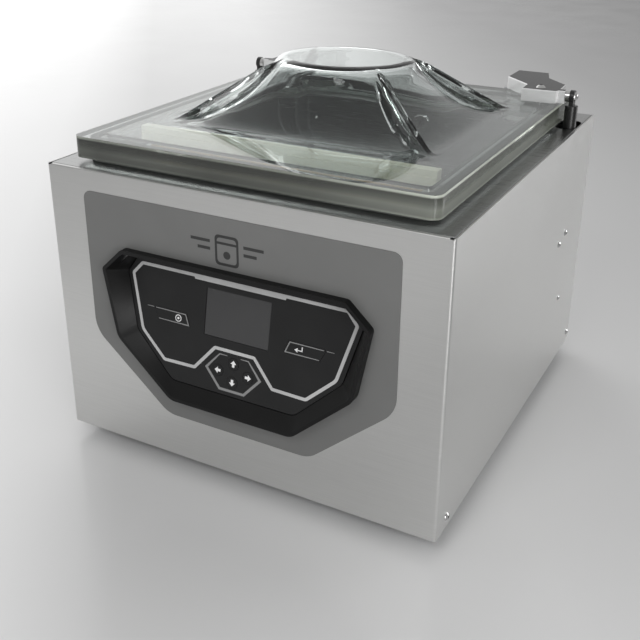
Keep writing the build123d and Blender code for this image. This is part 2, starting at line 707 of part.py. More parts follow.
def hinge_bracket():
    """The right-hand foot on the deck with two ears for the pin."""
    bracket = block(*BRACKET_FOOT, LID_REAR + 3, REAR - 4, DECK_TOP, DECK_TOP + BRACKET_THICK)
    for x0, x1 in EARS_X:
        bracket = bracket + block(x0, x1, PIVOT_Y - EAR_R, PIVOT_Y + EAR_R, DECK_TOP, PIVOT_Z)
        bracket = bracket + cylinder_x(x0, x1, PIVOT_Y, PIVOT_Z, EAR_R)
    bore = PIN_R + RUNNING_GAP
    bracket = bracket - cylinder_x(EARS_X[0][0] - 1, EARS_X[1][1] + 1, PIVOT_Y, PIVOT_Z, bore)
    for x in BRACKET_SCREWS_X:
        bracket = bracket - cylinder_z(x, PIVOT_Y - 3, DECK_TOP - 1, DECK_TOP + 4, 2.7)
    return bracket


def hinge_bracket_screws():
    screws = []
    for x in BRACKET_SCREWS_X:
        top = DECK_TOP + BRACKET_THICK
        screws.append(dome_screw(x, PIVOT_Y - 3, top, (0, 0, 1), 4.2, 2.4, 2.5, 12.0))
    return both_sides(group(screws))


def hinge_pins():
    pin = cylinder_x(EARS_X[0][0] - 2, EARS_X[1][1], PIVOT_Y, PIVOT_Z, PIN_R)
    pin = pin + cylinder_x(EARS_X[1][1] + 0.1, EARS_X[1][1] + 2.5, PIVOT_Y, PIVOT_Z, 6.0)
    pin = pin + cylinder_x(EARS_X[1][1] - 1, EARS_X[1][1] + 1, PIVOT_Y, PIVOT_Z, PIN_R)
    return both_sides(pin)


# ---------------------------------------------------------------- gas springs

SPRING_RUN = (EYE_Y - STUD_Y, EYE_Z - STUD_Z)
SPRING_LENGTH = math.hypot(*SPRING_RUN)
SPRING_DIRECTION = (0, SPRING_RUN[0] / SPRING_LENGTH, SPRING_RUN[1] / SPRING_LENGTH)
SPRING_AXIS = Plane(origin=(SPRING_X, STUD_Y, STUD_Z), x_dir=(1, 0, 0), z_dir=SPRING_DIRECTION)


def along_spring(start, end, radius):
    return SPRING_AXIS * Pos(0, 0, (start + end) / 2) * Cylinder(radius, end - start)


def gas_spring_rod():
    """The right-hand rod with the eye that turns on the lower stud."""
    rod = along_spring(5.0, ROD_END, ROD_R)
    rod = rod + cylinder_x(SPRING_X - 2.5, SPRING_X + 2.5, STUD_Y, STUD_Z, 7.0)
    return rod - cylinder_x(SPRING_X - 4, SPRING_X + 4, STUD_Y, STUD_Z, STUD_R + RUNNING_GAP)


def gas_spring_tube():
    """The right-hand tube, closed at the top by the flat end eye."""
    tube = along_spring(TUBE_START, TUBE_END, TUBE_R)
    tube = chamfer(tube.edges().sort_by(Axis.Z)[-1], 0.8)
    tube = tube - along_spring(TUBE_START + 4, TUBE_END - 6, TUBE_R - TUBE_WALL)
    tube = tube - along_spring(TUBE_START - 1, TUBE_START + 6, ROD_R + RUNNING_GAP)
    neck = SPRING_AXIS * Pos(0, 0, (TUBE_END + SPRING_LENGTH) / 2) * Box(
        EYE_X[1] - EYE_X[0], 9.0, SPRING_LENGTH - TUBE_END + 1)
    eye = cylinder_x(*EYE_X, EYE_Y, EYE_Z, 6.5)
    return tube + neck + eye - cylinder_x(EYE_X[0] - 1, EYE_X[1] + 1, EYE_Y, EYE_Z, 3.1)


def upper_stud():
    """The shouldered stud through the right-hand eye, with its domed head outside."""
    stud = cylinder_x(STEP_X + 0.4, EYE_X[0] - 0.1, EYE_Y, EYE_Z, 6.0)
    stud = stud + cylinder_x(STEP_X + 0.4, EYE_X[1], EYE_Y, EYE_Z, 3.0)
    return stud + dome_screw(EYE_X[1] + 0.1, EYE_Y, EYE_Z, (1, 0, 0), 4.6, 3.2, 3.0, 2.0)


def lower_studs():
    stud = cylinder_x(SPRING_X - 4.5, SIDE, STUD_Y, STUD_Z, STUD_R)
    stud = stud + cylinder_x(SPRING_X + 2.8, INNER_SIDE - SHEET, STUD_Y, STUD_Z, 5.0)
    stud = stud + cylinder_x(SPRING_X - 4.5, SPRING_X - 2.8, STUD_Y, STUD_Z, 4.6)
    return both_sides(stud + dome_screw(SIDE, STUD_Y, STUD_Z, (1, 0, 0), shank=1.0))


def spring_brackets():
    """Thin plates inside the side walls that carry the lower studs."""
    plate = block(INNER_SIDE - SHEET, INNER_SIDE, 104, 156, 86, 190)
    plate = plate - cylinder_x(SIDE - 5, SIDE, STUD_Y, STUD_Z, STUD_R + 0.1)
    for y, z in SIDE_SCREWS[:2]:
        plate = plate - cylinder_x(SIDE - 5, SIDE, y, z, 2.0)
    return both_sides(plate)


# ---------------------------------------------------------------- machinery under the chamber


def pump_mounts():
    """Four rubber bobbins under the pump's frame."""
    mounts = []
    for x in (-70.0, 140.0):
        for y in (40.0, 112.0):
            mount = cylinder_z(x, y, BASE_TOP, FRAME_Z[0], 10.0)
            mounts.append(mount - Pos(x, y, (BASE_TOP + FRAME_Z[0]) / 2) * Torus(11.5, 3.0))
    return group(mounts)


def pump_frame():
    plate = rounded_block(PUMP_X[0] - 10, MOTOR_END + 5, PUMP_Y[0] - 8, PUMP_Y[1] + 10, *FRAME_Z, 6)
    for x0, x1 in ((-60, -40), (0, 20)):
        plate = plate + block(x0, x1, PUMP_Y[0] + 10, PUMP_Y[1] - 10, FRAME_Z[1] - 0.5, PUMP_Z[0])
    cradle = block(70, 120, PUMP_Y[0] + 15, PUMP_Y[1] - 15, FRAME_Z[1] - 0.5, MOTOR_Z - 20)
    return plate + (cradle - cylinder_x(60, 130, PUMP_MIDDLE, MOTOR_Z, MOTOR_R + 0.1))


def pump_body():
    """The finned pump head with its suction barb on top."""
    body = block(*PUMP_X, *PUMP_Y, *PUMP_Z)
    body = fillet(body.edges().filter_by(Axis.X), 8.0)
    for fin in range(6):
        x = PUMP_X[0] + 14 + 14 * fin
        body = body - block(x, x + 5, PUMP_Y[0] - 1, PUMP_Y[0] + 9, PUMP_Z[0] + 10, PUMP_Z[1] - 10)
    body = body + cylinder_z(PORT_X, HOSE_END_Y, PUMP_Z[1] - 1, PUMP_Z[1] + 4, 8.0)
    body = body + cylinder_z(PORT_X, HOSE_END_Y, PUMP_Z[1], PUMP_Z[1] + 14, BARB_R)
    return body - cylinder_z(PORT_X, HOSE_END_Y, PUMP_Z[1] - 20, PUMP_Z[1] + 15, 2.5)


def pump_motor():
    """The finned motor, bolted to the pump's side."""
    motor = cylinder_x(PUMP_X[1] + 0.2, MOTOR_END, PUMP_MIDDLE, MOTOR_Z, MOTOR_R)
    motor = fillet(motor.edges().group_by(Axis.X)[-1], 5.0)
    for fin in range(7):
        x = PUMP_X[1] + 8 + 4 * fin
        groove = cylinder_x(x, x + 2, PUMP_MIDDLE, MOTOR_Z, MOTOR_R + 1)
        motor = motor - (groove - cylinder_x(x - 1, x + 3, PUMP_MIDDLE, MOTOR_Z, MOTOR_R - 3))
    return motor


def oil_filter():
    """The oil separator box behind the pump."""
    box = block(*PUMP_X, PUMP_Y[1] + 0.2, FILTER_REAR, PUMP_Z[0] + 5, FILTER_TOP)
    box = fillet(box.edges().filter_by(Axis.Z), 9.0)
    box = fillet(box.edges().group_by(Axis.Z)[-1], 4.0)
    return box - cylinder_y(GLASS_X, FILTER_REAR - 3, FILTER_REAR + 1, GLASS_Z, GLASS_R + 0.2)


def oil_sight_glass():
    glass = cylinder_y(GLASS_X, FILTER_REAR - 3, FILTER_REAR + 2, GLASS_Z, GLASS_R)
    return fillet(glass.edges().group_by(Axis.Y)[-1], 1.0)


def oil_filler_cap():
    cap = cylinder_z(*CAP_PLACE, FILTER_TOP, FILTER_TOP + CAP_TALL, 12.0)
    return cap - extrude(Pos(*CAP_PLACE, FILTER_TOP + CAP_TALL - 2) * Rectangle(16, 3), 3)


def vacuum_hose():
    """From the chamber's suction port, down behind the tub, to the pump's inlet."""
    start = TUB_REAR + 8.0
    side_view = [
        (start, PORT_Z), (HOSE_REAR, PORT_Z), (HOSE_REAR, HOSE_LOW), (HOSE_END_Y, HOSE_LOW),
        (HOSE_END_Y, PUMP_Z[1] + 5),
    ]
    path = FilletPolyline(*[(PORT_X, y, z) for y, z in side_view], radius=15)
    start_plane = Plane(origin=(PORT_X, start, PORT_Z), z_dir=(0, 1, 0))
    return sweep(start_plane * (Circle(HOSE_R) - Circle(BARB_R + 0.1)), path=path)


def transformer():
    """A laminated core with its winding, on the base."""
    core = block(-35, 35, -35, 35, 3, 61)
    for side in (1, -1):
        core = core - Pos(19 * side, 0, 32) * Box(12, 80, 36)
    core = core + block(-43, 43, -30, 30, 0, 3.2)
    front_coil = rounded_block(-12.9, 12.9, -48, -35, 15, 49, 5)
    coils = front_coil + Pos(0, 83, 0) * front_coil
    place = Pos(*TRANSFORMER_PLACE, BASE_TOP)
    return group([place * core, place * coils])


def solenoid_valve():
    valve = block(-14, 14, -14, 14, -30, 0)
    valve = fillet(valve.edges().filter_by(Axis.Z), 2.0)
    valve = valve + cylinder_x(13, 42, 0, -15, 12.0)
    valve = valve + cylinder_y(0, -28, -13, -15, BARB_R)
    return Pos(*VALVE_PLACE, TUB_FLOOR - TUB_SHEET) * valve


def power_board():
    """The mains board on spacers off the right-hand wall, with its larger parts."""
    face = MAINS_BOARD_X
    board = block(face, face + 1.6, -150, -40, 45, 150)
    for y in (-142, -48):
        for z in (53, 142):
            board = board + cylinder_x(face + 1.5, INNER_SIDE, y, z, 3.0)
    board = board + block(face - 18, face + 0.1, -140, -110, 60, 90)
    board = board + cylinder_x(face - 23, face + 0.1, -80, 120, 11.0)
    return board + block(face - 12, face + 0.1, -75, -50, 55, 80)


def lid_switch():
    """The small switch under the deck that tells when the lid is down."""
    return rounded_block(-18, 2, -194, -184, DECK_UNDER - 10, DECK_UNDER, 1.5)


# ---------------------------------------------------------------- rear fittings


def power_inlet():
    """A three-pin inlet socket, recessed, with no cord in it."""
    inlet = front_prism(RectangleRounded(50, 24, 4), REAR, REAR + 3)
    inlet = inlet + front_prism(RectangleRounded(27.4, 20.4, 3), REAR - 18, REAR + 0.5)
    inlet = inlet - front_prism(RectangleRounded(23.5, 16.5, 3), REAR - 16, REAR + 4)
    for x, z in ((-7, -3), (7, -3), (0, 3.5)):
        inlet = inlet + front_prism(Pos(x, z) * Rectangle(2, 4), REAR - 17, REAR - 2)
    for x in (-20, 20):
        inlet = inlet - front_prism(Pos(x, 0) * Circle(1.8), REAR - 1, REAR + 4)
    return Pos(INLET_X, 0, INLET_Z) * inlet


def switch_housing():
    body = front_prism(RectangleRounded(20, 29, 2), REAR, REAR + 1.8)
    body = body + front_prism(Rectangle(15.6, 24.6), REAR - 16, REAR + 0.5)
    body = body - front_prism(Rectangle(11.0, 20.6), REAR - 12, REAR + 3)
    body = Pos(SWITCH_X, 0, SWITCH_Z) * body
    return body - cylinder_x(SWITCH_X - 7, SWITCH_X + 7, ROCKER_Y, SWITCH_Z, ROCKER_PIN_R + RUNNING_GAP)


def switch_rocker():
    """The rocker, resting with its upper half pressed in."""
    side_view = Plane(origin=(-5.2, 0, 0), x_dir=(0, 1, 0), z_dir=(1, 0, 0))
    profile = outline([(-3.5, -8.0), (2.4, -9.2), (4.4, 0.0), (2.4, 9.2), (-3.5, 8.0)])
    rocker = extrude(side_view * profile, 10.4)
    rocker = rocker + cylinder_x(-6.6, 6.6, 0, 0, ROCKER_PIN_R)
    return Pos(SWITCH_X, ROCKER_Y, SWITCH_Z) * Rot(ROCKER_TILT, 0, 0) * rocker


# ---------------------------------------------------------------- all nodes


def build_nodes():
    nodes = {
        "casing_wrap": casing_wrap(),
        "deck_plate": deck_plate(),
        "rear_panel": rear_panel(),
        "base_plate": base_plate(),
        "rubber_feet": rubber_feet(),
        "foot_screws": foot_screws(),
        "casing_screws": casing_screws(),
        "decal_plate": decal_plate(),
        "control_bezel": control_bezel(),
        "control_panel": control_panel(),
        "panel_trim": panel_trim(),
        "control_board": control_board(),
        "chamber_tub": chamber_tub(),
        "suction_port": suction_port(),
        "seal_bar_body": seal_bar_body(),
        "heating_wire": heating_wire(),
        "seal_tape": seal_tape(),
        "lift_rods": lift_rods(),
        "lift_cylinders": lift_cylinders(),
        "lid_shell": lid_shell(),
        "lid_gasket": lid_gasket(),
        "counter_bar": counter_bar(),
        "hinge_block_screws": hinge_block_screws(),
        "hinge_bracket_screws": hinge_bracket_screws(),
        "hinge_pins": hinge_pins(),
        "gas_spring_lower_studs": lower_studs(),
        "gas_spring_brackets": spring_brackets(),
        "pump_mounts": pump_mounts(),
        "pump_frame": pump_frame(),
        "pump_body": pump_body(),
        "pump_motor": pump_motor(),
        "oil_filter": oil_filter(),
        "oil_sight_glass": oil_sight_glass(),
        "oil_filler_cap": oil_filler_cap(),
        "vacuum_hose": vacuum_hose(),
        "transformer": transformer(),
        "solenoid_valve": solenoid_valve(),
        "power_board": power_board(),
        "lid_switch": lid_switch(),
        "power_inlet": power_inlet(),
        "switch_housing": switch_housing(),
        "switch_rocker": switch_rocker(),
    }
    nodes["display_window"], nodes["display_module"] = display_parts()
    for name in KEYS:
        nodes["key_" + name] = key(name)
    paired = {
        "hinge_block": hinge_block(),
        "hinge_bracket": hinge_bracket(),
        "gas_spring_rod": gas_spring_rod(),
        "gas_spring_tube": gas_spring_tube(),
        "gas_spring_stud": upper_stud(),
    }
    for name, shape in paired.items():
        nodes[name + "_right"] = shape
        nodes[name + "_left"] = mirrored(shape)
    return nodes


os.makedirs("parts", exist_ok=True)
for node_name, node_shape in build_nodes().items():
    export_step(node_shape, "parts/" + node_name + ".step")
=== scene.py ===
import json
import math

import bpy
from mathutils import Matrix, Vector


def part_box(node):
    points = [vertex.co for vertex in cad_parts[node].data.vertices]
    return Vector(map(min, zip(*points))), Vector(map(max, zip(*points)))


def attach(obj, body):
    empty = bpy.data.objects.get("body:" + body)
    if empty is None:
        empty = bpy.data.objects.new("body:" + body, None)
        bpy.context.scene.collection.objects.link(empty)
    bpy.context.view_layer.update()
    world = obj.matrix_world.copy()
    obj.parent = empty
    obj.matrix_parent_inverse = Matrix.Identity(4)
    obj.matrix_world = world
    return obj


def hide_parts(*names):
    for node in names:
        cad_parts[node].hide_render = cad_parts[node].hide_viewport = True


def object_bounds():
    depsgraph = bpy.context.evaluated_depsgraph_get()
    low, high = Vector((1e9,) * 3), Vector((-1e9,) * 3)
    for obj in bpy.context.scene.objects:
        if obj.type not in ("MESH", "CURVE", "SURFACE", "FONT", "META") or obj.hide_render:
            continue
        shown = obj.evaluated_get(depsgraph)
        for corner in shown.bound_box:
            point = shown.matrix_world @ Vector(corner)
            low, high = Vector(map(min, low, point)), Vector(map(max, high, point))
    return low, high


# Looks for a tabletop chamber vacuum packing machine. Shapes are in millimetres, and become
# metres in mesh_piece(). The camera, lights, floor and texture coordinates are in metres.
MM = 0.001

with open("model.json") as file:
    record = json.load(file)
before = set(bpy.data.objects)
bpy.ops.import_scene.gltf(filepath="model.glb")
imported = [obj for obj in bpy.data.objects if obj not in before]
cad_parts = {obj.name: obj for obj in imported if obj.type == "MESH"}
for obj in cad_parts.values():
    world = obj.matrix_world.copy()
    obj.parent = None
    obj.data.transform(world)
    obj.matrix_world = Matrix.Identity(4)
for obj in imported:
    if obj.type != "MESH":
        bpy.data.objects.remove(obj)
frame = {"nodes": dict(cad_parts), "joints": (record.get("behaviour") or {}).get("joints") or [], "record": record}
cad_low, cad_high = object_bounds()


def node_box(name):
    """The lowest and highest corners of a CAD node, in millimetres."""
    low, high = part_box(name)
    return low / MM, high / MM


# ---------------------------------------------------------------- camera

# The photograph's viewpoint: a lens in millimetres, and a shift in shares of the picture
CAMERA_AZIMUTH = math.radians(29.01)
CAMERA_ELEVATION = math.radians(23.23)
CAMERA_PLACE = Vector((0.4116, -0.8262, 0.5441))
LENS = 52.48
SHIFT = (0.0239, -0.0828)


def add_camera():
    """A camera that looks along the photograph's line of sight."""
    sin_a, cos_a = math.sin(CAMERA_AZIMUTH), math.cos(CAMERA_AZIMUTH)
    sin_e, cos_e = math.sin(CAMERA_ELEVATION), math.cos(CAMERA_ELEVATION)
    right = Vector((cos_a, sin_a, 0))
    up = Vector((-sin_a * sin_e, cos_a * sin_e, cos_e))
    back = Vector((sin_a * cos_e, -cos_a * cos_e, sin_e))
    camera = bpy.data.objects.new("camera", bpy.data.cameras.new("camera"))
    turn = Matrix((right, up, back)).transposed().to_4x4()
    camera.matrix_world = Matrix.Translation(CAMERA_PLACE) @ turn
    camera.data.lens = LENS
    camera.data.shift_x, camera.data.shift_y = SHIFT
    bpy.context.scene.collection.objects.link(camera)
    bpy.context.scene.camera = camera


add_camera()

# ---------------------------------------------------------------- material helpers

# Most of a noise texture's values are between these
NOISE_LOW = 0.3
NOISE_HIGH = 0.7
BROAD_DETAIL = 2.0
GRAIN_STRENGTH = 0.6

# Brushed metal: how many scratches and how many broad patches fit in a metre end to end, how
# much longer than wide a scratch is, and the tint of the darkest patches
SCRATCHES = 26.0
SCRATCH_STRETCH = 55.0
SCRATCH_DETAIL = 5.0
SCRATCH_STRENGTH = 0.25
PATCHES = 3.0
PATCH_TINT = (0.96, 0.96, 0.96)
WHITE = (1.0, 1.0, 1.0)


def new_material(name):
    """A material, its node tree and its shader."""
    material = bpy.data.materials.new(name)
    material.use_nodes = True
    return material, material.node_tree, material.node_tree.nodes["Principled BSDF"]


def place(tree, stretch=(1, 1, 1)):
    """Object coordinates in metres, stretched along each axis."""
    coordinates = tree.nodes.new("ShaderNodeTexCoord")
    mapping = tree.nodes.new("ShaderNodeMapping")
    mapping.inputs["Scale"].default_value = stretch
    tree.links.new(coordinates.outputs["Object"], mapping.inputs["Vector"])
    return mapping.outputs["Vector"]


def noise(tree, vector, scale, detail=3.0):
    """Soft noise from about 0 to 1, with scale patches in a metre."""
    node = tree.nodes.new("ShaderNodeTexNoise")
    node.inputs["Scale"].default_value = scale
    node.inputs["Detail"].default_value = detail
    tree.links.new(vector, node.inputs["Vector"])
    return node.outputs["Fac"]


def remap(tree, value, start, end, low=0.0, high=1.0):
    """A value that runs from start to end, made to run from low to high."""
    node = tree.nodes.new("ShaderNodeMapRange")
    node.inputs["From Min"].default_value = start
    node.inputs["From Max"].default_value = end
    node.inputs["To Min"].default_value = low
    node.inputs["To Max"].default_value = high
    tree.links.new(value, node.inputs["Value"])
    return node.outputs["Result"]


def spread(tree, value, low, high):
    """A noise's middle range spread over low to high."""
    return remap(tree, value, NOISE_LOW, NOISE_HIGH, low, high)


def colour_ramp(tree, value, stops):
    """A colour for each value, from pairs of place and colour."""
    node = tree.nodes.new("ShaderNodeValToRGB")
    elements = node.color_ramp.elements
    while len(elements) < len(stops):
        elements.new(1.0)
    for element, (position, colour) in zip(elements, stops):
        element.position = position
        element.color = (*colour, 1)
    tree.links.new(value, node.inputs["Fac"])
    return node.outputs["Color"]


def tint(tree, value, dark, light):
    """A colour from dark to light over a noise's middle range."""
    return colour_ramp(tree, value, ((NOISE_LOW, dark), (NOISE_HIGH, light)))


def grey(tone):
    return (tone, tone, tone)


def grey_ramp(tree, value, tones):
    """A grey for each value, from pairs of place and tone."""
    return colour_ramp(tree, value, [(position, grey(tone)) for position, tone in tones])


def gradient(tree, axis, low, high, tones):
    """A grey ramp along one axis, between two places in millimetres."""
    parts = tree.nodes.new("ShaderNodeSeparateXYZ")
    tree.links.new(place(tree), parts.inputs["Vector"])
    return grey_ramp(tree, remap(tree, parts.outputs[axis], low * MM, high * MM), tones)


def along(tree, vector, direction):
    """How far a vector reaches in one direction."""
    node = tree.nodes.new("ShaderNodeVectorMath")
    node.operation = "DOT_PRODUCT"
    node.inputs[1].default_value = direction
    tree.links.new(vector, node.inputs[0])
    return node.outputs["Value"]


def multiply(tree, first, second):
    """The product of two colours."""
    node = tree.nodes.new("ShaderNodeMix")
    node.data_type = "RGBA"
    node.blend_type = "MULTIPLY"
    node.inputs["Factor"].default_value = 1.0
    tree.links.new(first, node.inputs[6])
    tree.links.new(second, node.inputs[7])
    return node.outputs[2]


def shade_over(material, *shades):
    """Multiplies a material's base colour by other colours."""
    tree = material.node_tree
    base = tree.nodes["Principled BSDF"].inputs["Base Color"]
    colour = base.links[0].from_socket
    for shade in shades:
        colour = multiply(tree, colour, shade)
    tree.links.new(colour, base)


def roughen(tree, shader, value, strength, depth):
    """Bumps a shader's surface by a texture, depth millimetres deep."""
    node = tree.nodes.new("ShaderNodeBump")
    node.inputs["Strength"].default_value = strength
    node.inputs["Distance"].default_value = depth * MM
    tree.links.new(value, node.inputs["Height"])
    tree.links.new(node.outputs["Normal"], shader.inputs["Normal"])


def surface(name, dark, light, rough, grain, depth,
            mottle=25.0, specular=0.5, metallic=0.0, transmission=0.0):
    """A material with broad colour variation, and fine grain in its roughness and relief.

    rough is the lowest and highest roughness, grain is how many grains fit in a metre,
    depth is their relief in millimetres, and mottle is how many patches fit in a metre.
    """
    material, tree, shader = new_material(name)
    broad = noise(tree, place(tree), mottle, BROAD_DETAIL)
    fine = noise(tree, place(tree), grain)
    shader.inputs["Specular IOR Level"].default_value = specular
    shader.inputs["Metallic"].default_value = metallic
    shader.inputs["Transmission Weight"].default_value = transmission
    tree.links.new(tint(tree, broad, dark, light), shader.inputs["Base Color"])
    tree.links.new(spread(tree, fine, *rough), shader.inputs["Roughness"])
    roughen(tree, shader, fine, GRAIN_STRENGTH, depth)
    return material


def brushed(name, dark, light, rough, lengthwise="x", depth=0.004):
    """Satin sheet metal with long fine scratches along the axes named."""
    material, tree, shader = new_material(name)
    stretch = [1.0 if axis in lengthwise else SCRATCH_STRETCH for axis in "xyz"]
    scratches = noise(tree, place(tree, stretch), SCRATCHES, SCRATCH_DETAIL)
    patches = noise(tree, place(tree), PATCHES, BROAD_DETAIL)
    tree.links.new(tint(tree, scratches, dark, light), shader.inputs["Base Color"])
    shade_over(material, tint(tree, patches, PATCH_TINT, WHITE))
    tree.links.new(spread(tree, scratches, *rough), shader.inputs["Roughness"])
    roughen(tree, shader, scratches, SCRATCH_STRENGTH, depth)
    shader.inputs["Metallic"].default_value = 1.0
    return material


# ---------------------------------------------------------------- materials

# Pairs of place and tone: painted light up the casing from the floor, paler low down; painted shade over a hinge
# plate's tilt from upright to level, darkest on its top; and painted highlights and shade up and along the front
# of the clear plate's edge
CASING_PAINTED_LIGHT_UP = ((0.0, 1.0), (0.35, 0.95), (0.7, 0.84), (1.0, 0.8))
HINGE_PAINTED_SHADE_TONES = ((0.0, 0.9), (0.8, 0.9), (0.95, 0.16), (1.0, 0.14))
EDGE_PAINTED_LIGHT_UP = (
    (0.0, 0.6), (0.12, 0.3), (0.4, 0.34), (0.6, 0.2), (0.86, 0.1), (0.93, 0.9), (1.0, 1.0))
EDGE_PAINTED_LIGHT_ALONG = (
    (0.0, 1.0), (0.08, 0.6), (0.3, 0.8), (0.42, 0.6), (0.7, 0.9), (0.9, 1.5), (1.0, 1.9))

ACRYLIC_IOR = 1.49
ACRYLIC_TINT = (0.925, 0.955, 0.948)
ACRYLIC_SHADOW = (0.86, 0.9, 0.885)
ACRYLIC_CAST = (0.55, 0.68, 0.6)
ACRYLIC_CAST_DENSITY = 7.0
PLATE_TALL = 20.0

CASING_STEEL = dict(dark=(0.64, 0.64, 0.63), light=(0.68, 0.68, 0.67), rough=(0.3, 0.38))
HINGE_METAL = dict(dark=grey(0.92), light=grey(1.0), rough=(0.14, 0.22), depth=0.002)
HINGE_METALLIC = 0.45
HINGE_SPECULAR = 0.15
HINGE_SPECULAR_TINT = (0.25, 0.25, 0.25, 1)
ACRYLIC_EDGE = dict(
    dark=(0.36, 0.385, 0.33), light=(0.44, 0.465, 0.41), rough=(0.1, 0.2),
    grain=60.0, depth=0.01, mottle=9.0, transmission=0.3)

BRUSHED_METALS = {
    # Painted shade: the deck's stainless is much darker than the casing's, for the shade under and before the lid
    "stainless_deck": dict(
        dark=(0.26, 0.263, 0.26), light=(0.3, 0.303, 0.3), rough=(0.26, 0.34)),
    "stainless_tub": dict(
        dark=(0.29, 0.305, 0.303), light=(0.35, 0.366, 0.363), rough=(0.18, 0.28)),
    "bar_aluminium": dict(
        dark=(0.6, 0.6, 0.61), light=(0.68, 0.68, 0.69), rough=(0.28, 0.4)),
    "wire_nickel": dict(
        dark=(0.42, 0.4, 0.37), light=(0.5, 0.48, 0.44), rough=(0.2, 0.3)),
    "core_steel": dict(
        dark=grey(0.16), light=(0.24, 0.235, 0.23), rough=(0.4, 0.55), depth=0.05),
}

SURFACES = {
    "galvanised": dict(
        dark=(0.38, 0.39, 0.4), light=(0.48, 0.49, 0.5), rough=(0.35, 0.5),
        grain=300.0, depth=0.01, mottle=60.0, metallic=1.0),
    "zinc_screws": dict(
        dark=grey(0.5), light=(0.58, 0.58, 0.57), rough=(0.07, 0.13),
        grain=900.0, depth=0.004, metallic=1.0),
    "gasket_silicone": dict(
        dark=(0.1, 0.105, 0.1), light=(0.14, 0.145, 0.14), rough=(0.4, 0.5),
        grain=700.0, depth=0.02),
    "cream_silicone": dict(
        dark=(0.45, 0.44, 0.33), light=(0.52, 0.51, 0.39), rough=(0.42, 0.52),
        grain=600.0, depth=0.03),
    "black_enamel": dict(
        dark=grey(0.008), light=grey(0.014), rough=(0.25, 0.35),
        grain=900.0, depth=0.01),
    "steel_rod": dict(
        dark=grey(0.6), light=grey(0.68), rough=(0.06, 0.14),
        grain=1200.0, depth=0.002, metallic=1.0),
    "display_glass": dict(
        dark=(0.03, 0.03, 0.031), light=(0.04, 0.04, 0.041), rough=(0.06, 0.1),
        grain=300.0, depth=0.002, mottle=8.0),
    "seal_tape_tan": dict(
        dark=(0.32, 0.2, 0.1), light=(0.4, 0.27, 0.14), rough=(0.4, 0.5),
        grain=1500.0, depth=0.04),
    "foot_rubber": dict(
        dark=grey(0.012), light=grey(0.02), rough=(0.6, 0.8),
        grain=900.0, depth=0.05),
    "pump_iron": dict(
        dark=(0.09, 0.095, 0.1), light=(0.13, 0.135, 0.14), rough=(0.45, 0.65),
        grain=500.0, depth=0.12, metallic=0.3),
    "motor_paint": dict(
        dark=(0.02, 0.03, 0.045), light=(0.03, 0.042, 0.06), rough=(0.3, 0.45),
        grain=600.0, depth=0.04),
    "hose_rubber": dict(
        dark=grey(0.014), light=grey(0.024), rough=(0.5, 0.7),
        grain=800.0, depth=0.06),
    "sight_glass": dict(
        dark=(0.5, 0.33, 0.06), light=(0.62, 0.45, 0.1), rough=(0.03, 0.08),
        grain=80.0, depth=0.01, transmission=0.6),
    "brass_valve": dict(
        dark=(0.55, 0.4, 0.14), light=(0.66, 0.5, 0.2), rough=(0.2, 0.35),
        grain=500.0, depth=0.01, metallic=1.0),
}

# Plastics and inks, which share one fine grain
PLASTIC_GRAIN = 1800.0
PLASTIC_DEPTH = 0.012
FINE_PLASTICS = {
    "decal_grey": dict(
        dark=(0.138, 0.139, 0.136), light=(0.147, 0.148, 0.145), rough=(0.4, 0.5)),
    "black_moulding": dict(
        dark=grey(0.003), light=grey(0.006), rough=(0.34, 0.44), specular=0.22),
    "membrane_black": dict(
        dark=(0.008, 0.008, 0.0083), light=(0.011, 0.011, 0.0113), rough=(0.36, 0.46),
        specular=0.3),
    "silver_print": dict(dark=grey(0.42), light=grey(0.5), rough=(0.35, 0.45)),
    "icon_white": dict(dark=grey(0.72), light=grey(0.8), rough=(0.4, 0.5)),
    "line_grey": dict(dark=grey(0.2), light=grey(0.25), rough=(0.4, 0.5)),
    "emblem_black": dict(dark=grey(0.016), light=grey(0.022), rough=(0.35, 0.45)),
}


def clear_acrylic():
    """Polished acrylic with a green cast in its depth; lamps shine through it."""
    material, tree, shader = new_material("clear_acrylic")
    shader.inputs["Base Color"].default_value = (*ACRYLIC_TINT, 1)
    shader.inputs["Transmission Weight"].default_value = 1.0
    shader.inputs["IOR"].default_value = ACRYLIC_IOR
    smudges = noise(tree, place(tree), scale=14.0, detail=4.0)
    tree.links.new(spread(tree, smudges, low=0.0, high=0.03), shader.inputs["Roughness"])
    ripples = noise(tree, place(tree), scale=9.0, detail=1.0)
    roughen(tree, shader, ripples, strength=0.1, depth=0.05)
    open_way = tree.nodes.new("ShaderNodeBsdfTransparent")
    open_way.inputs["Color"].default_value = (*ACRYLIC_SHADOW, 1)
    path = tree.nodes.new("ShaderNodeLightPath")
    mix = tree.nodes.new("ShaderNodeMixShader")
    tree.links.new(path.outputs["Is Shadow Ray"], mix.inputs["Fac"])
    tree.links.new(shader.outputs["BSDF"], mix.inputs[1])
    tree.links.new(open_way.outputs["BSDF"], mix.inputs[2])
    depth = tree.nodes.new("ShaderNodeVolumeAbsorption")
    depth.inputs["Color"].default_value = (*ACRYLIC_CAST, 1)
    depth.inputs["Density"].default_value = ACRYLIC_CAST_DENSITY
    output = tree.nodes["Material Output"]
    tree.links.new(mix.outputs["Shader"], output.inputs["Surface"])
    tree.links.new(depth.outputs["Volume"], output.inputs["Volume"])
    return material


def acrylic_edge_painted_light():
    """The plate's flamed edge, with painted highlights along its rims, painted shade between them, and painted
    light towards its right.
    """
    material = surface("acrylic_edge_painted_light", **ACRYLIC_EDGE)
    tree = material.node_tree
    tree.nodes["Principled BSDF"].inputs["IOR"].default_value = ACRYLIC_IOR
    low, high = node_box("lid_shell")
    # Painted highlights along the rims, painted shade between them, and painted light towards the right
    upright = gradient(tree, "Z", low.z, low.z + PLATE_TALL, EDGE_PAINTED_LIGHT_UP)
    level = gradient(tree, "X", low.x, high.x, EDGE_PAINTED_LIGHT_ALONG)
    shade_over(material, upright, level)
    return material


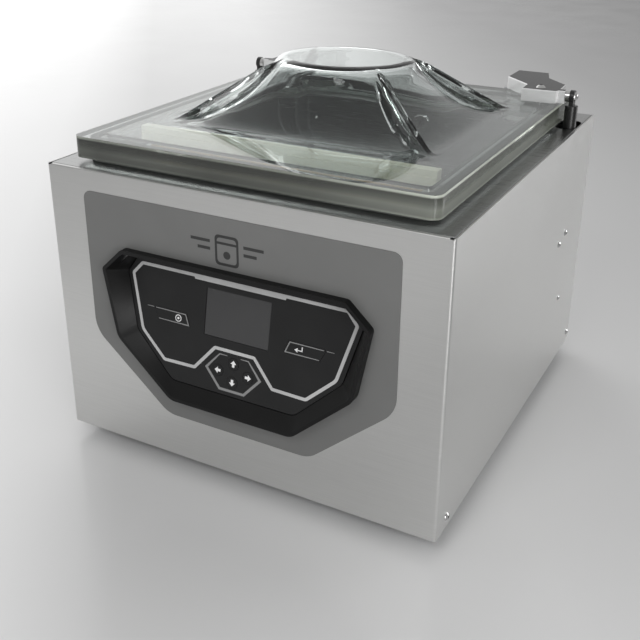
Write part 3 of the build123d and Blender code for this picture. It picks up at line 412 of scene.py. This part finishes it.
def casing_steel():
    """The casing's satin sheet, with painted light that makes it a little paler towards the floor."""
    material = brushed("stainless_wrap", lengthwise="xy", **CASING_STEEL)
    low, high = node_box("casing_wrap")
    # Painted light: the sheet's colour is paler towards the floor
    shade_over(material, gradient(material.node_tree, "Z", low.z, high.z, CASING_PAINTED_LIGHT_UP))
    return material


def hinge_metal():
    """Cast hinge plates: bright plating on their sides, and a top painted dark grey as shade."""
    material = brushed("chromed_hinge", **HINGE_METAL)
    tree = material.node_tree
    shader = tree.nodes["Principled BSDF"]
    sides = tree.nodes.new("ShaderNodeTexCoord")
    upward = tree.nodes.new("ShaderNodeSeparateXYZ")
    tree.links.new(sides.outputs["Normal"], upward.inputs["Vector"])
    # Painted shade: the plating darkens to grey where it faces up
    shade_over(material, grey_ramp(tree, upward.outputs["Z"], HINGE_PAINTED_SHADE_TONES))
    shader.inputs["Metallic"].default_value = HINGE_METALLIC
    shader.inputs["Specular IOR Level"].default_value = HINGE_SPECULAR
    shader.inputs["Specular Tint"].default_value = HINGE_SPECULAR_TINT
    return material


def circuit_board():
    """Green solder mask over a faint pattern of copper tracks."""
    material, tree, shader = new_material("circuit_green")
    tracks = tree.nodes.new("ShaderNodeTexBrick")
    tracks.inputs["Scale"].default_value = 160.0
    tracks.inputs["Color1"].default_value = (0.012, 0.075, 0.03, 1)
    tracks.inputs["Color2"].default_value = (0.014, 0.09, 0.036, 1)
    tracks.inputs["Mortar"].default_value = (0.03, 0.17, 0.07, 1)
    tree.links.new(place(tree, stretch=(1, 1, 0.6)), tracks.inputs["Vector"])
    tree.links.new(tracks.outputs["Color"], shader.inputs["Base Color"])
    roughen(tree, shader, tracks.outputs["Fac"], strength=0.3, depth=0.05)
    shader.inputs["Roughness"].default_value = 0.35
    return material


def build_materials():
    """Every material by its name, which for a CAD node is its slot in the record."""
    materials = {
        "stainless_wrap": casing_steel(),
        "clear_acrylic": clear_acrylic(),
        "acrylic_edge_painted_light": acrylic_edge_painted_light(),
        "chromed_hinge": hinge_metal(),
        "circuit_green": circuit_board(),
    }
    for name, looks in BRUSHED_METALS.items():
        materials[name] = brushed(name, **looks)
    for name, looks in SURFACES.items():
        materials[name] = surface(name, **looks)
    for name, looks in FINE_PLASTICS.items():
        materials[name] = surface(name, grain=PLASTIC_GRAIN, depth=PLASTIC_DEPTH, **looks)
    return materials


MATERIALS = build_materials()


def finish_cad_nodes():
    """Gives every CAD node the material of its slot in the record."""
    for part in frame["record"]["subparts"]:
        mesh = frame["nodes"][part["node"]].data
        mesh.materials.clear()
        mesh.materials.append(MATERIALS[part["material_slot"]])


finish_cad_nodes()

# ---------------------------------------------------------------- mesh helpers

BEVEL_SEGMENTS = 3
BEVEL_ANGLE = math.radians(35.0)
CORNER_STEPS = 6


def mesh_piece(name, points, faces, material, body, smooth=False):
    """A mesh from points in millimetres, which rides on a body."""
    mesh = bpy.data.meshes.new(name)
    mesh.from_pydata([Vector(point) * MM for point in points], [], faces)
    mesh.materials.append(MATERIALS[material])
    mesh.polygons.foreach_set("use_smooth", [smooth] * len(mesh.polygons))
    piece = bpy.data.objects.new(name, mesh)
    bpy.context.scene.collection.objects.link(piece)
    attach(piece, body)
    return piece


def round_edges(piece, width):
    """Rounds a piece's sharp edges, with its flat faces kept flat."""
    bevel = piece.modifiers.new("rounded_edges", "BEVEL")
    bevel.width = width * MM
    bevel.segments = BEVEL_SEGMENTS
    bevel.limit_method = "ANGLE"
    bevel.angle_limit = BEVEL_ANGLE
    bevel.harden_normals = True


def rounded_corners(points, radius):
    """A closed outline of right-angled corners, each turned into an arc."""
    result = []
    for before, point, after in zip(points[-1:] + points[:-1], points, points[1:] + points[:1]):
        corner = Vector(point)
        towards_last = (Vector(before) - corner).normalized()
        towards_next = (Vector(after) - corner).normalized()
        centre = corner + radius * (towards_last + towards_next)
        for step in range(CORNER_STEPS + 1):
            turn = math.pi / 2 * step / CORNER_STEPS
            arm = towards_next * math.cos(turn) + towards_last * math.sin(turn)
            result.append(centre - radius * arm)
    return result


def symmetric(right_side):
    """A closed outline from its right-hand half."""
    return right_side + [(-x, y) for x, y in reversed(right_side)]


# ---------------------------------------------------------------- lid

# The clear plate, and the pocket under it, whose outline is given by its right half
lid_low, lid_high = node_box("lid_shell")
PLATE_THICK = 8.0
PLATE_CORNER = 9.0
POCKET_OUTLINE = [(162.5, -174.5), (162.5, 120.0), (124.0, 120.0), (124.0, 151.0)]
POCKET_CORNER = 4.0
RIM_ROUND = 1.3
LID_BOTTOM = lid_low.z
LID_TOP = LID_BOTTOM + PLATE_TALL
CEILING = LID_TOP - PLATE_THICK

# The dome: a plateau from which scoops run down between four legs that reach for the corners
DOME_Y = -2.0
DOME_TALL = 57.5
DOME_TOP = lid_high.z - LID_TOP
DOME_THICK = 5.0
DOME_SHARE = 0.993
PLATEAU_FRONT = 56.0
PLATEAU_SIDE = 66.0
SCOOP_FRONT = 118.0
SCOOP_SIDE = 138.0
SCOOP_POWER = 1.9
LEG_ANGLE = math.radians(36.5)
LEG_TALL = 54.6
LEG_SLOPE = 0.568
LEG_REACH = 167.0
LEG_CREST = 5.0
LEG_FLANK = 2.4

# How widely the dome's surfaces blend where they meet
SCOOP_BLEND = 8.0
CREST_BLEND = 10.0
LEG_BLEND = 3.0
FOOT_BLEND = 1.5
TOP_BLEND = 3.0

# Inside, the wall thins from the plate's thickness to the dome's as the outside rises by
# WALL_RISE, and a slope makes it at most STEEPEST times as thick, measured upright
WALL_RISE = 14.0
STEEPEST = 2.5
SLOPE_STEP = 0.5

# How finely the skin is divided, and the slack for rounding errors where lines cross
TOP_RINGS = 110
UNDER_RINGS = 90
EVEN_BEARINGS = 240
LEAST_BEARING_GAP = math.radians(0.12)
LEAST_SLANT = 1e-9
END_SLACK = 1e-6


def smooth_max(a, b, blend):
    """The larger of two heights, with a rounded hollow where they meet."""
    h = max(blend - abs(a - b), 0.0) / blend
    return max(a, b) + h * h * blend / 4


def smooth_min(a, b, blend):
    """The smaller of two heights, with a rounded brow where they meet."""
    return -smooth_max(-a, -b, blend)


def smooth_step(value):
    """An eased rise from 0 to 1."""
    t = min(max(value, 0.0), 1.0)
    return t * t * (3 - 2 * t)


def dome_height(x, y):
    """Height of the dome's outside over the plate, at a place seen from above."""
    radius = math.hypot(x, y)
    bearing = math.atan2(abs(y), abs(x))
    sine, cosine = math.sin(bearing), math.cos(bearing)
    edge = PLATEAU_SIDE + (PLATEAU_FRONT - PLATEAU_SIDE) * sine ** 2
    # The scoops run out on an eighth-power oval, which is nearly a rounded rectangle
    run_out = 1 / math.hypot(cosine ** 4 / SCOOP_SIDE ** 4, sine ** 4 / SCOOP_FRONT ** 4) ** 0.25
    left = (run_out - radius) / (run_out - edge)
    bowl = DOME_TALL * left * abs(left) ** (SCOOP_POWER - 1)
    scoop = smooth_min(DOME_TALL, bowl, SCOOP_BLEND)
    outward = radius * math.cos(bearing - LEG_ANGLE)
    across = radius * math.sin(bearing - LEG_ANGLE)
    crest = smooth_min(LEG_TALL, LEG_SLOPE * (LEG_REACH - outward), CREST_BLEND)
    leg = crest - math.hypot(LEG_CREST, LEG_FLANK * across) + LEG_CREST
    height = smooth_max(smooth_max(scoop, leg, LEG_BLEND), 0.0, FOOT_BLEND)
    return smooth_min(DOME_SHARE * height, DOME_TOP, TOP_BLEND)


def dome_inside(x, y):
    """Height of the dome's inside: an even wall, as thick as the plate at its foot."""
    height = dome_height(x, y)
    step = SLOPE_STEP
    slope_x = (dome_height(x + step, y) - dome_height(x - step, y)) / (2 * step)
    slope_y = (dome_height(x, y + step) - dome_height(x, y - step)) / (2 * step)
    upright = min(math.sqrt(1 + slope_x ** 2 + slope_y ** 2), STEEPEST) * DOME_THICK
    share = smooth_step(height / WALL_RISE)
    return height - PLATE_THICK - (upright - PLATE_THICK) * share


def reach_of(outline, angle):
    """How far a closed outline is from the dome's centre, in one direction."""
    cos_a, sin_a = math.cos(angle), math.sin(angle)
    found = 0.0
    for start, end in zip(outline, outline[1:] + outline[:1]):
        edge = end - start
        slant = cos_a * edge.y - sin_a * edge.x
        if abs(slant) < LEAST_SLANT:
            continue
        share = (sin_a * start.x - cos_a * (start.y - DOME_Y)) / slant
        if -END_SLACK <= share <= 1 + END_SLACK:
            hit = start + edge * share
            found = max(found, hit.x * cos_a + (hit.y - DOME_Y) * sin_a)
    return found


def lid_outlines():
    """The plate's outside and the pocket's wall."""
    plate = symmetric([(lid_high.x, lid_low.y), (lid_high.x, lid_high.y)])
    pocket = symmetric(POCKET_OUTLINE)
    return rounded_corners(plate, PLATE_CORNER), rounded_corners(pocket, POCKET_CORNER)


def lid_bearings(outlines):
    """Directions from the dome's centre that meet every corner, and fill the rest evenly."""
    found = [math.atan2(p.y - DOME_Y, p.x) % math.tau for line in outlines for p in line]
    found += [math.tau * step / EVEN_BEARINGS for step in range(EVEN_BEARINGS)]
    kept = []
    for angle in sorted(found):
        if not kept or angle - kept[-1] > LEAST_BEARING_GAP:
            kept.append(angle)
    return kept


def clear_lid():
    """The clear plate and its dome as one closed skin, ring by ring from the top's centre."""
    outlines = lid_outlines()
    bearings = lid_bearings(outlines)
    plate, pocket = ([reach_of(line, a) for a in bearings] for line in outlines)

    def over(x, y):
        return LID_TOP + dome_height(x, y)

    def under(x, y):
        return LID_TOP + dome_inside(x, y)

    def rim(x, y):
        return LID_BOTTOM

    def ring(reaches, share, height):
        points = []
        for reach, angle in zip(reaches, bearings):
            x, y = share * reach * math.cos(angle), share * reach * math.sin(angle)
            points.append((x, y + DOME_Y, height(x, y)))
        return points

    rings = [ring(plate, n / TOP_RINGS, over) for n in range(1, TOP_RINGS + 1)]
    rings += [ring(reaches, 1.0, rim) for reaches in (plate, pocket)]
    rings += [ring(pocket, n / UNDER_RINGS, under) for n in range(UNDER_RINGS, 0, -1)]
    points = [point for each in rings for point in each]
    count = len(bearings)
    points += [(0, DOME_Y, over(0, 0)), (0, DOME_Y, under(0, 0))]
    last = (len(rings) - 1) * count
    faces, edge_faces = [], []
    for n in range(count):
        after = (n + 1) % count
        faces.append((len(points) - 2, n, after))
        faces.append((len(points) - 1, last + after, last + n))
        for row in range(len(rings) - 1):
            here = row * count
            if row == TOP_RINGS - 1:
                edge_faces.append(len(faces))
            faces.append((here + n, here + count + n, here + count + after, here + after))
    lid = mesh_piece("clear_lid", points, faces, "clear_acrylic", "lid", smooth=True)
    lid.data.materials.append(MATERIALS["acrylic_edge_painted_light"])
    for face in edge_faces:
        lid.data.polygons[face].material_index = 1
    round_edges(lid, RIM_ROUND)
    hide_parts("lid_shell")


def box_points(low, high):
    """The eight corners and six faces of a box."""
    ends = (low, high)
    points = [(x[0], y[1], z[2]) for z in ends for y in ends for x in ends]
    faces = [(0, 2, 3, 1), (4, 5, 7, 6), (0, 1, 5, 4), (2, 6, 7, 3), (0, 4, 6, 2), (1, 3, 7, 5)]
    return points, faces


# The rail's half width and rounding, and its gaps from the bar and from the pocket's ceiling
RAIL_HALF_WIDE = 5.0
RAIL_ROUND = 0.4
RAIL_GAP_BELOW = 0.05
RAIL_GAP_ABOVE = 0.1


def counter_bar_rail():
    """The rail under the plate that carries the silicone bar, moulded with it."""
    low, high = node_box("counter_bar")
    middle_y = (low.y + high.y) / 2
    corners = ((low.x, middle_y - RAIL_HALF_WIDE, high.z + RAIL_GAP_BELOW),
               (high.x, middle_y + RAIL_HALF_WIDE, CEILING - RAIL_GAP_ABOVE))
    points, faces = box_points(*corners)
    rail = mesh_piece("counter_bar_rail", points, faces, "cream_silicone", "lid", smooth=True)
    round_edges(rail, RAIL_ROUND)


clear_lid()
counter_bar_rail()

# ---------------------------------------------------------------- prints on the panel

# Ink's thickness, and how far over the panel's face its back is, on the panel and on a key,
# which stands proud of the panel
PRINT_THICK = 0.08
PANEL_INK = 0.02
KEY_INK = 0.16
LEAST_MITRE = 0.5

# The panel's datum is this far down its slope from its top edge, and up from its bottom edge
PANEL_TOP = 48.9
PANEL_BOTTOM = 62.3

key_axis = Vector(next(j["axis"] for j in frame["joints"] if j["name"] == "press_up"))
PANEL_UP = Vector((0, -key_axis.z, key_axis.y))
panel_low, panel_high = node_box("control_panel")
datum_y = panel_low.y + PANEL_BOTTOM * PANEL_UP.y
datum_z = panel_high.z - PANEL_TOP * PANEL_UP.z
PANEL_FACE = (Vector((0, datum_y, datum_z)), PANEL_UP, -key_axis)
decal_low = node_box("decal_plate")[0]
DECAL_FACE = (Vector((0, decal_low.y, 0)), Vector((0, 0, 1)), Vector((0, -1, 0)))


def prism(outline, face, low, high):
    """Points and faces of a flat shape between two heights over a face."""
    datum, up, out = face
    count = len(outline)
    points = [datum + Vector((u, 0, 0)) + up * v + out * h for h in (low, high) for u, v in outline]
    faces = [tuple(range(count - 1, -1, -1)), tuple(range(count, 2 * count))]
    faces += [(n, (n + 1) % count, count + (n + 1) % count, count + n) for n in range(count)]
    return points, faces


def printed(name, outlines, material, body="root", face=PANEL_FACE, base=PANEL_INK):
    """Ink as thin raised shapes, whose outlines run anticlockwise."""
    points, faces = [], []
    for outline in outlines:
        more, new_faces = prism(outline, face, base, base + PRINT_THICK)
        faces += [tuple(n + len(points) for n in corners) for corners in new_faces]
        points += more
    piece = mesh_piece(name, points, faces, material, body)


def anticlockwise(outline):
    """The outline, turned round if it runs clockwise."""
    sides = zip(outline, outline[1:] + outline[:1])
    turn = sum(x0 * y1 - x1 * y0 for (x0, y0), (x1, y1) in sides)
    return outline if turn > 0 else outline[::-1]


def stroke(points, widths):
    """The outline of a line through points, with its own width at each."""
    left, right = [], []
    for n, (point, width) in enumerate(zip(points, widths)):
        here = Vector(point)
        before = (here - Vector(points[n - 1])).normalized() if n else None
        after = (Vector(points[n + 1]) - here).normalized() if n + 1 < len(points) else None
        heading = ((before or after) + (after or before)).normalized()
        widen = 1 / max(heading.dot(after or before), LEAST_MITRE)
        side = Vector((-heading.y, heading.x)) * width / 2 * widen
        left.append(tuple(here + side))
        right.append(tuple(here - side))
    return anticlockwise(left + right[::-1])


def circle(x, y, radius, steps):
    """A circle's outline, anticlockwise."""
    angles = [math.tau * n / steps for n in range(steps)]
    return [(x + radius * math.cos(angle), y + radius * math.sin(angle)) for angle in angles]


def ring_strokes(x, y, radius, width, steps):
    """A ring as short joined strokes, so that each is a simple outline."""
    inner = circle(x, y, radius - width / 2, steps)
    outer = circle(x, y, radius + width / 2, steps)
    ends = [(n, (n + 1) % steps) for n in range(steps)]
    return [[inner[n], outer[n], outer[after], inner[after]] for n, after in ends]


def turned(outline, x, y, angle):
    """An outline turned about its own middle, and moved."""
    cos_a, sin_a = math.cos(angle), math.sin(angle)
    return [(x + u * cos_a - v * sin_a, y + u * sin_a + v * cos_a) for u, v in outline]


# A chunky arrow that points up, about its own middle
ARROW = [
    (-1.25, -2.9), (1.25, -2.9), (1.25, 0.1), (3.1, 0.1), (0.0, 3.4), (-3.1, 0.1), (-1.25, 0.1)]

# Where each arrow is on the panel, and how it is turned
ARROW_KEYS = {
    "up": (0.0, -31.4, 0.0),
    "left": (-15.9, -40.4, math.pi / 2),
    "right": (15.9, -40.4, -math.pi / 2),
    "down": (0.0, -48.9, math.pi),
}

# Lines as points on the panel's right half, with the line's width at each
HEXAGON_LOWER = [(0.0, -57.4), (12.9, -57.4), (28.4, -40.2), (24.0, -35.0)]
HEXAGON_LOWER_WIDTHS = [2.4, 2.4, 2.4, 1.9]
HEXAGON_UPPER = [(24.0, -35.0), (15.2, -24.9), (7.0, -24.9)]
HEXAGON_UPPER_WIDTHS = [1.9, 1.1, 0.5]
KEY_LINE = [(88.3, 3.1), (54.9, 3.1), (51.0, -6.6), (84.3, -6.6)]
KEY_LINE_WIDTHS = [0.7, 1.0, 1.1, 0.7]
KEY_TAIL = [(90.8, 3.1), (98.0, 3.1)]
KEY_TAIL_WIDTHS = [0.65, 0.5]

# The stop key's dot in a ring, and the enter key's turned-back arrow
STOP_PLACE = (-62.6, -1.9)
STOP_RING_RADIUS = 3.0
STOP_RING_WIDTH = 0.8
STOP_RING_STEPS = 32
STOP_DOT_RADIUS = 1.2
STOP_DOT_STEPS = 20
ENTER_LINE = [(67.4, 1.2), (67.4, -2.6), (62.6, -2.6)]
ENTER_LINE_WIDTHS = [0.9, 0.9, 0.9]
ENTER_HEAD = [(59.8, -2.6), (63.0, -4.7), (63.0, -0.5)]


def key_icon(key, shapes):
    """A white icon on a key's face, which moves with the key."""
    printed("icon_" + key, shapes, "icon_white", "key_" + key, base=KEY_INK)


def arrow_icons():
    """One arrow for each of the four arrow keys."""
    for key, (x, v, angle) in ARROW_KEYS.items():
        key_icon(key, [turned(ARROW, x, v, angle)])


def panel_line(points, widths, side):
    """A line's outline on the panel's right half, or on its left with a side of -1."""
    return stroke([(side * x, v) for x, v in points], widths)


def hexagon_frame():
    """The line around the arrow keys, heaviest along its lower corners and open at the top."""
    for side, name in ((1, "right"), (-1, "left")):
        lines = [panel_line(HEXAGON_LOWER, HEXAGON_LOWER_WIDTHS, side),
                 panel_line(HEXAGON_UPPER, HEXAGON_UPPER_WIDTHS, side)]
        printed("hexagon_line_" + name, lines, "line_grey")


def side_key_lines(key, side):
    """A key's thin upper and lower lines, its slanted end, and their tail on the panel."""
    on_key = panel_line(KEY_LINE, KEY_LINE_WIDTHS, side)
    printed("line_on_" + key, [on_key], "line_grey", "key_" + key, base=KEY_INK)
    tail = panel_line(KEY_TAIL, KEY_TAIL_WIDTHS, side)
    printed("line_beside_" + key, [tail], "line_grey")


def stop_icon():
    """A dot in a ring."""
    shapes = ring_strokes(*STOP_PLACE, STOP_RING_RADIUS, STOP_RING_WIDTH, STOP_RING_STEPS)
    shapes.append(circle(*STOP_PLACE, STOP_DOT_RADIUS, STOP_DOT_STEPS))
    key_icon("stop", shapes)


def enter_icon():
    """A line that drops and turns back to an arrowhead."""
    key_icon("enter", [stroke(ENTER_LINE, ENTER_LINE_WIDTHS), ENTER_HEAD])


# The emblem: a pouch about its middle on the front plate, its seal line, its goods, and two
# bars on each side as their near end, far end and height
EMBLEM = Vector((-3.0, 243.0))
POUCH_HALF_WIDE = 12
POUCH_HALF_TALL = 14
POUCH_CORNER = 4.0
POUCH_INNER = 0.82
POUCH_SEAL_HALF = 10.0
POUCH_SEAL_UP = 6.5
POUCH_SEAL_WIDTH = 2.2
GOODS_DOWN = 4.0
GOODS_RADIUS = 3.6
GOODS_STEPS = 28
BARS = ((17, 37, 6.5), (17, 30, -0.5))
BAR_WIDTH = 2.8
SHORTEST_SIDE = 0.01


def emblem():
    """A plain pictogram of a sealed pouch over the panel."""
    x, z = EMBLEM
    left, right = x - POUCH_HALF_WIDE, x + POUCH_HALF_WIDE
    bottom, top = z - POUCH_HALF_TALL, z + POUCH_HALF_TALL
    corners = [(left, bottom), (right, bottom), (right, top), (left, top)]
    pouch = rounded_corners(corners, POUCH_CORNER)
    inner = [EMBLEM + (point - EMBLEM) * POUCH_INNER for point in pouch]
    shapes = []
    for n, point in enumerate(pouch):
        after = (n + 1) % len(pouch)
        if (point - pouch[after]).length > SHORTEST_SIDE:
            shapes.append(anticlockwise([point, pouch[after], inner[after], inner[n]]))
    seal_up = z + POUCH_SEAL_UP
    seal = [(x - POUCH_SEAL_HALF, seal_up), (x + POUCH_SEAL_HALF, seal_up)]
    shapes.append(stroke(seal, [POUCH_SEAL_WIDTH, POUCH_SEAL_WIDTH]))
    shapes.append(circle(x, z - GOODS_DOWN, GOODS_RADIUS, GOODS_STEPS))
    for side in (1, -1):
        for near, far, up in BARS:
            ends = [(x + side * near, z + up), (x + side * far, z + up)]
            shapes.append(stroke(ends, [BAR_WIDTH, BAR_WIDTH]))
    printed("pouch_emblem", shapes, "emblem_black", face=DECAL_FACE)


arrow_icons()
hexagon_frame()
side_key_lines("stop", -1)
side_key_lines("enter", 1)
stop_icon()
enter_icon()
emblem()

# ---------------------------------------------------------------- floor, lights and background

# Painted light and shade: the floor's colour darkens along this direction, in metres from the machine
FLOOR_FADE = (0.8, 0.6, 0.0)
FLOOR_WHITE_AT = -0.6
FLOOR_GREY_AT = 1.8
FLOOR_REACH = 14.0
FLOOR_SPECULAR = 0.35
FLOOR_PAINTED_LIGHT_TONES = (
    (0.0, 0.95), (0.07, 0.87), (0.15, 0.62), (0.3, 0.69), (0.42, 0.57), (0.66, 0.3), (1.0, 0.1))

# The background brightens towards this direction
WORLD_BRIGHT_WAY = (-0.83, 0.5, 0.25)
WORLD_STRENGTH = 1.2
WORLD_TONES = ((0.0, 0.36), (0.5, 0.4), (0.75, 0.48), (0.9, 0.55), (0.95, 1.0), (1.0, 1.3))

# Each soft light's place, what it points at, its size and its power in watts
MACHINE_MIDDLE = (cad_low + cad_high) / 2
SOFT_LIGHTS = {
    "key_light": ((1.08, -1.26, 1.0), MACHINE_MIDDLE, (0.7, 0.7), 3.5),
    "front_light": ((0.03, -1.38, 1.3), MACHINE_MIDDLE, (0.6, 0.6), 5.0),
    "back_light": ((-2.6, 2.6, 2.4), (-2.2, 2.3, 0.0), (2.2, 2.2), 30.0),
    "right_light": ((1.5, 1.6, 0.42), MACHINE_MIDDLE, (1.2, 0.7), 15.0),
    "low_light": ((1.25, -1.15, 0.28), MACHINE_MIDDLE, (0.6, 0.4), 7.0),
}


def floor_material():
    """Polished studio floor, with painted light that makes it white towards the left and painted shade that makes
    it grey far off behind and to the right.
    """
    material, tree, shader = new_material("studio_floor")
    fade = remap(tree, along(tree, place(tree), FLOOR_FADE), FLOOR_WHITE_AT, FLOOR_GREY_AT)
    marks = noise(tree, place(tree), scale=6.0, detail=4.0)
    grain = noise(tree, place(tree), scale=400.0)
    shader.inputs["Specular IOR Level"].default_value = FLOOR_SPECULAR
    # Painted light and shade across the floor: white towards the left, grey far off
    tree.links.new(grey_ramp(tree, fade, FLOOR_PAINTED_LIGHT_TONES), shader.inputs["Base Color"])
    tree.links.new(spread(tree, marks, low=0.16, high=0.22), shader.inputs["Roughness"])
    roughen(tree, shader, grain, strength=0.2, depth=0.004)
    return material


def add_floor():
    """A square of studio floor, which isn't part of the machine."""
    mesh = bpy.data.meshes.new("studio_floor")
    signs = ((-1, -1), (1, -1), (1, 1), (-1, 1))
    corners = [(across * FLOOR_REACH, back * FLOOR_REACH, 0) for across, back in signs]
    mesh.from_pydata(corners, [], [(0, 1, 2, 3)])
    mesh.materials.append(floor_material())
    floor = bpy.data.objects.new("studio_floor", mesh)
    bpy.context.scene.collection.objects.link(floor)


def soft_light(name, stand, aim, size, power):
    """A rectangular lamp at one place, which points at another."""
    lamp = bpy.data.lights.new(name, "AREA")
    lamp.shape = "RECTANGLE"
    lamp.size, lamp.size_y = size
    lamp.energy = power
    holder = bpy.data.objects.new(name, lamp)
    holder.location = stand
    holder.rotation_euler = (Vector(aim) - Vector(stand)).to_track_quat("-Z", "Y").to_euler()
    bpy.context.scene.collection.objects.link(holder)
    return holder


def add_lights():
    """Soft lights round the machine, and one on the floor behind it that no gloss shows."""
    lights = {name: soft_light(name, *light) for name, light in SOFT_LIGHTS.items()}
    lights["back_light"].visible_glossy = False


def add_world():
    """Soft light from all round, brightest low down behind the machine's left side."""
    world = bpy.data.worlds.new("studio")
    bpy.context.scene.world = world
    world.use_nodes = True
    tree = world.node_tree
    background = tree.nodes["Background"]
    coordinates = tree.nodes.new("ShaderNodeTexCoord")
    towards = along(tree, coordinates.outputs["Generated"], WORLD_BRIGHT_WAY)
    shade = grey_ramp(tree, remap(tree, towards, -1.0, 1.0), WORLD_TONES)
    tree.links.new(shade, background.inputs["Color"])
    background.inputs["Strength"].default_value = WORLD_STRENGTH


add_floor()
add_world()
add_lights()

scene = bpy.context.scene
scene.view_settings.view_transform = "Standard"
scene.cycles.use_denoising = True
scene.cycles.max_bounces = 16
scene.cycles.transmission_bounces = 14
scene.cycles.transparent_max_bounces = 12
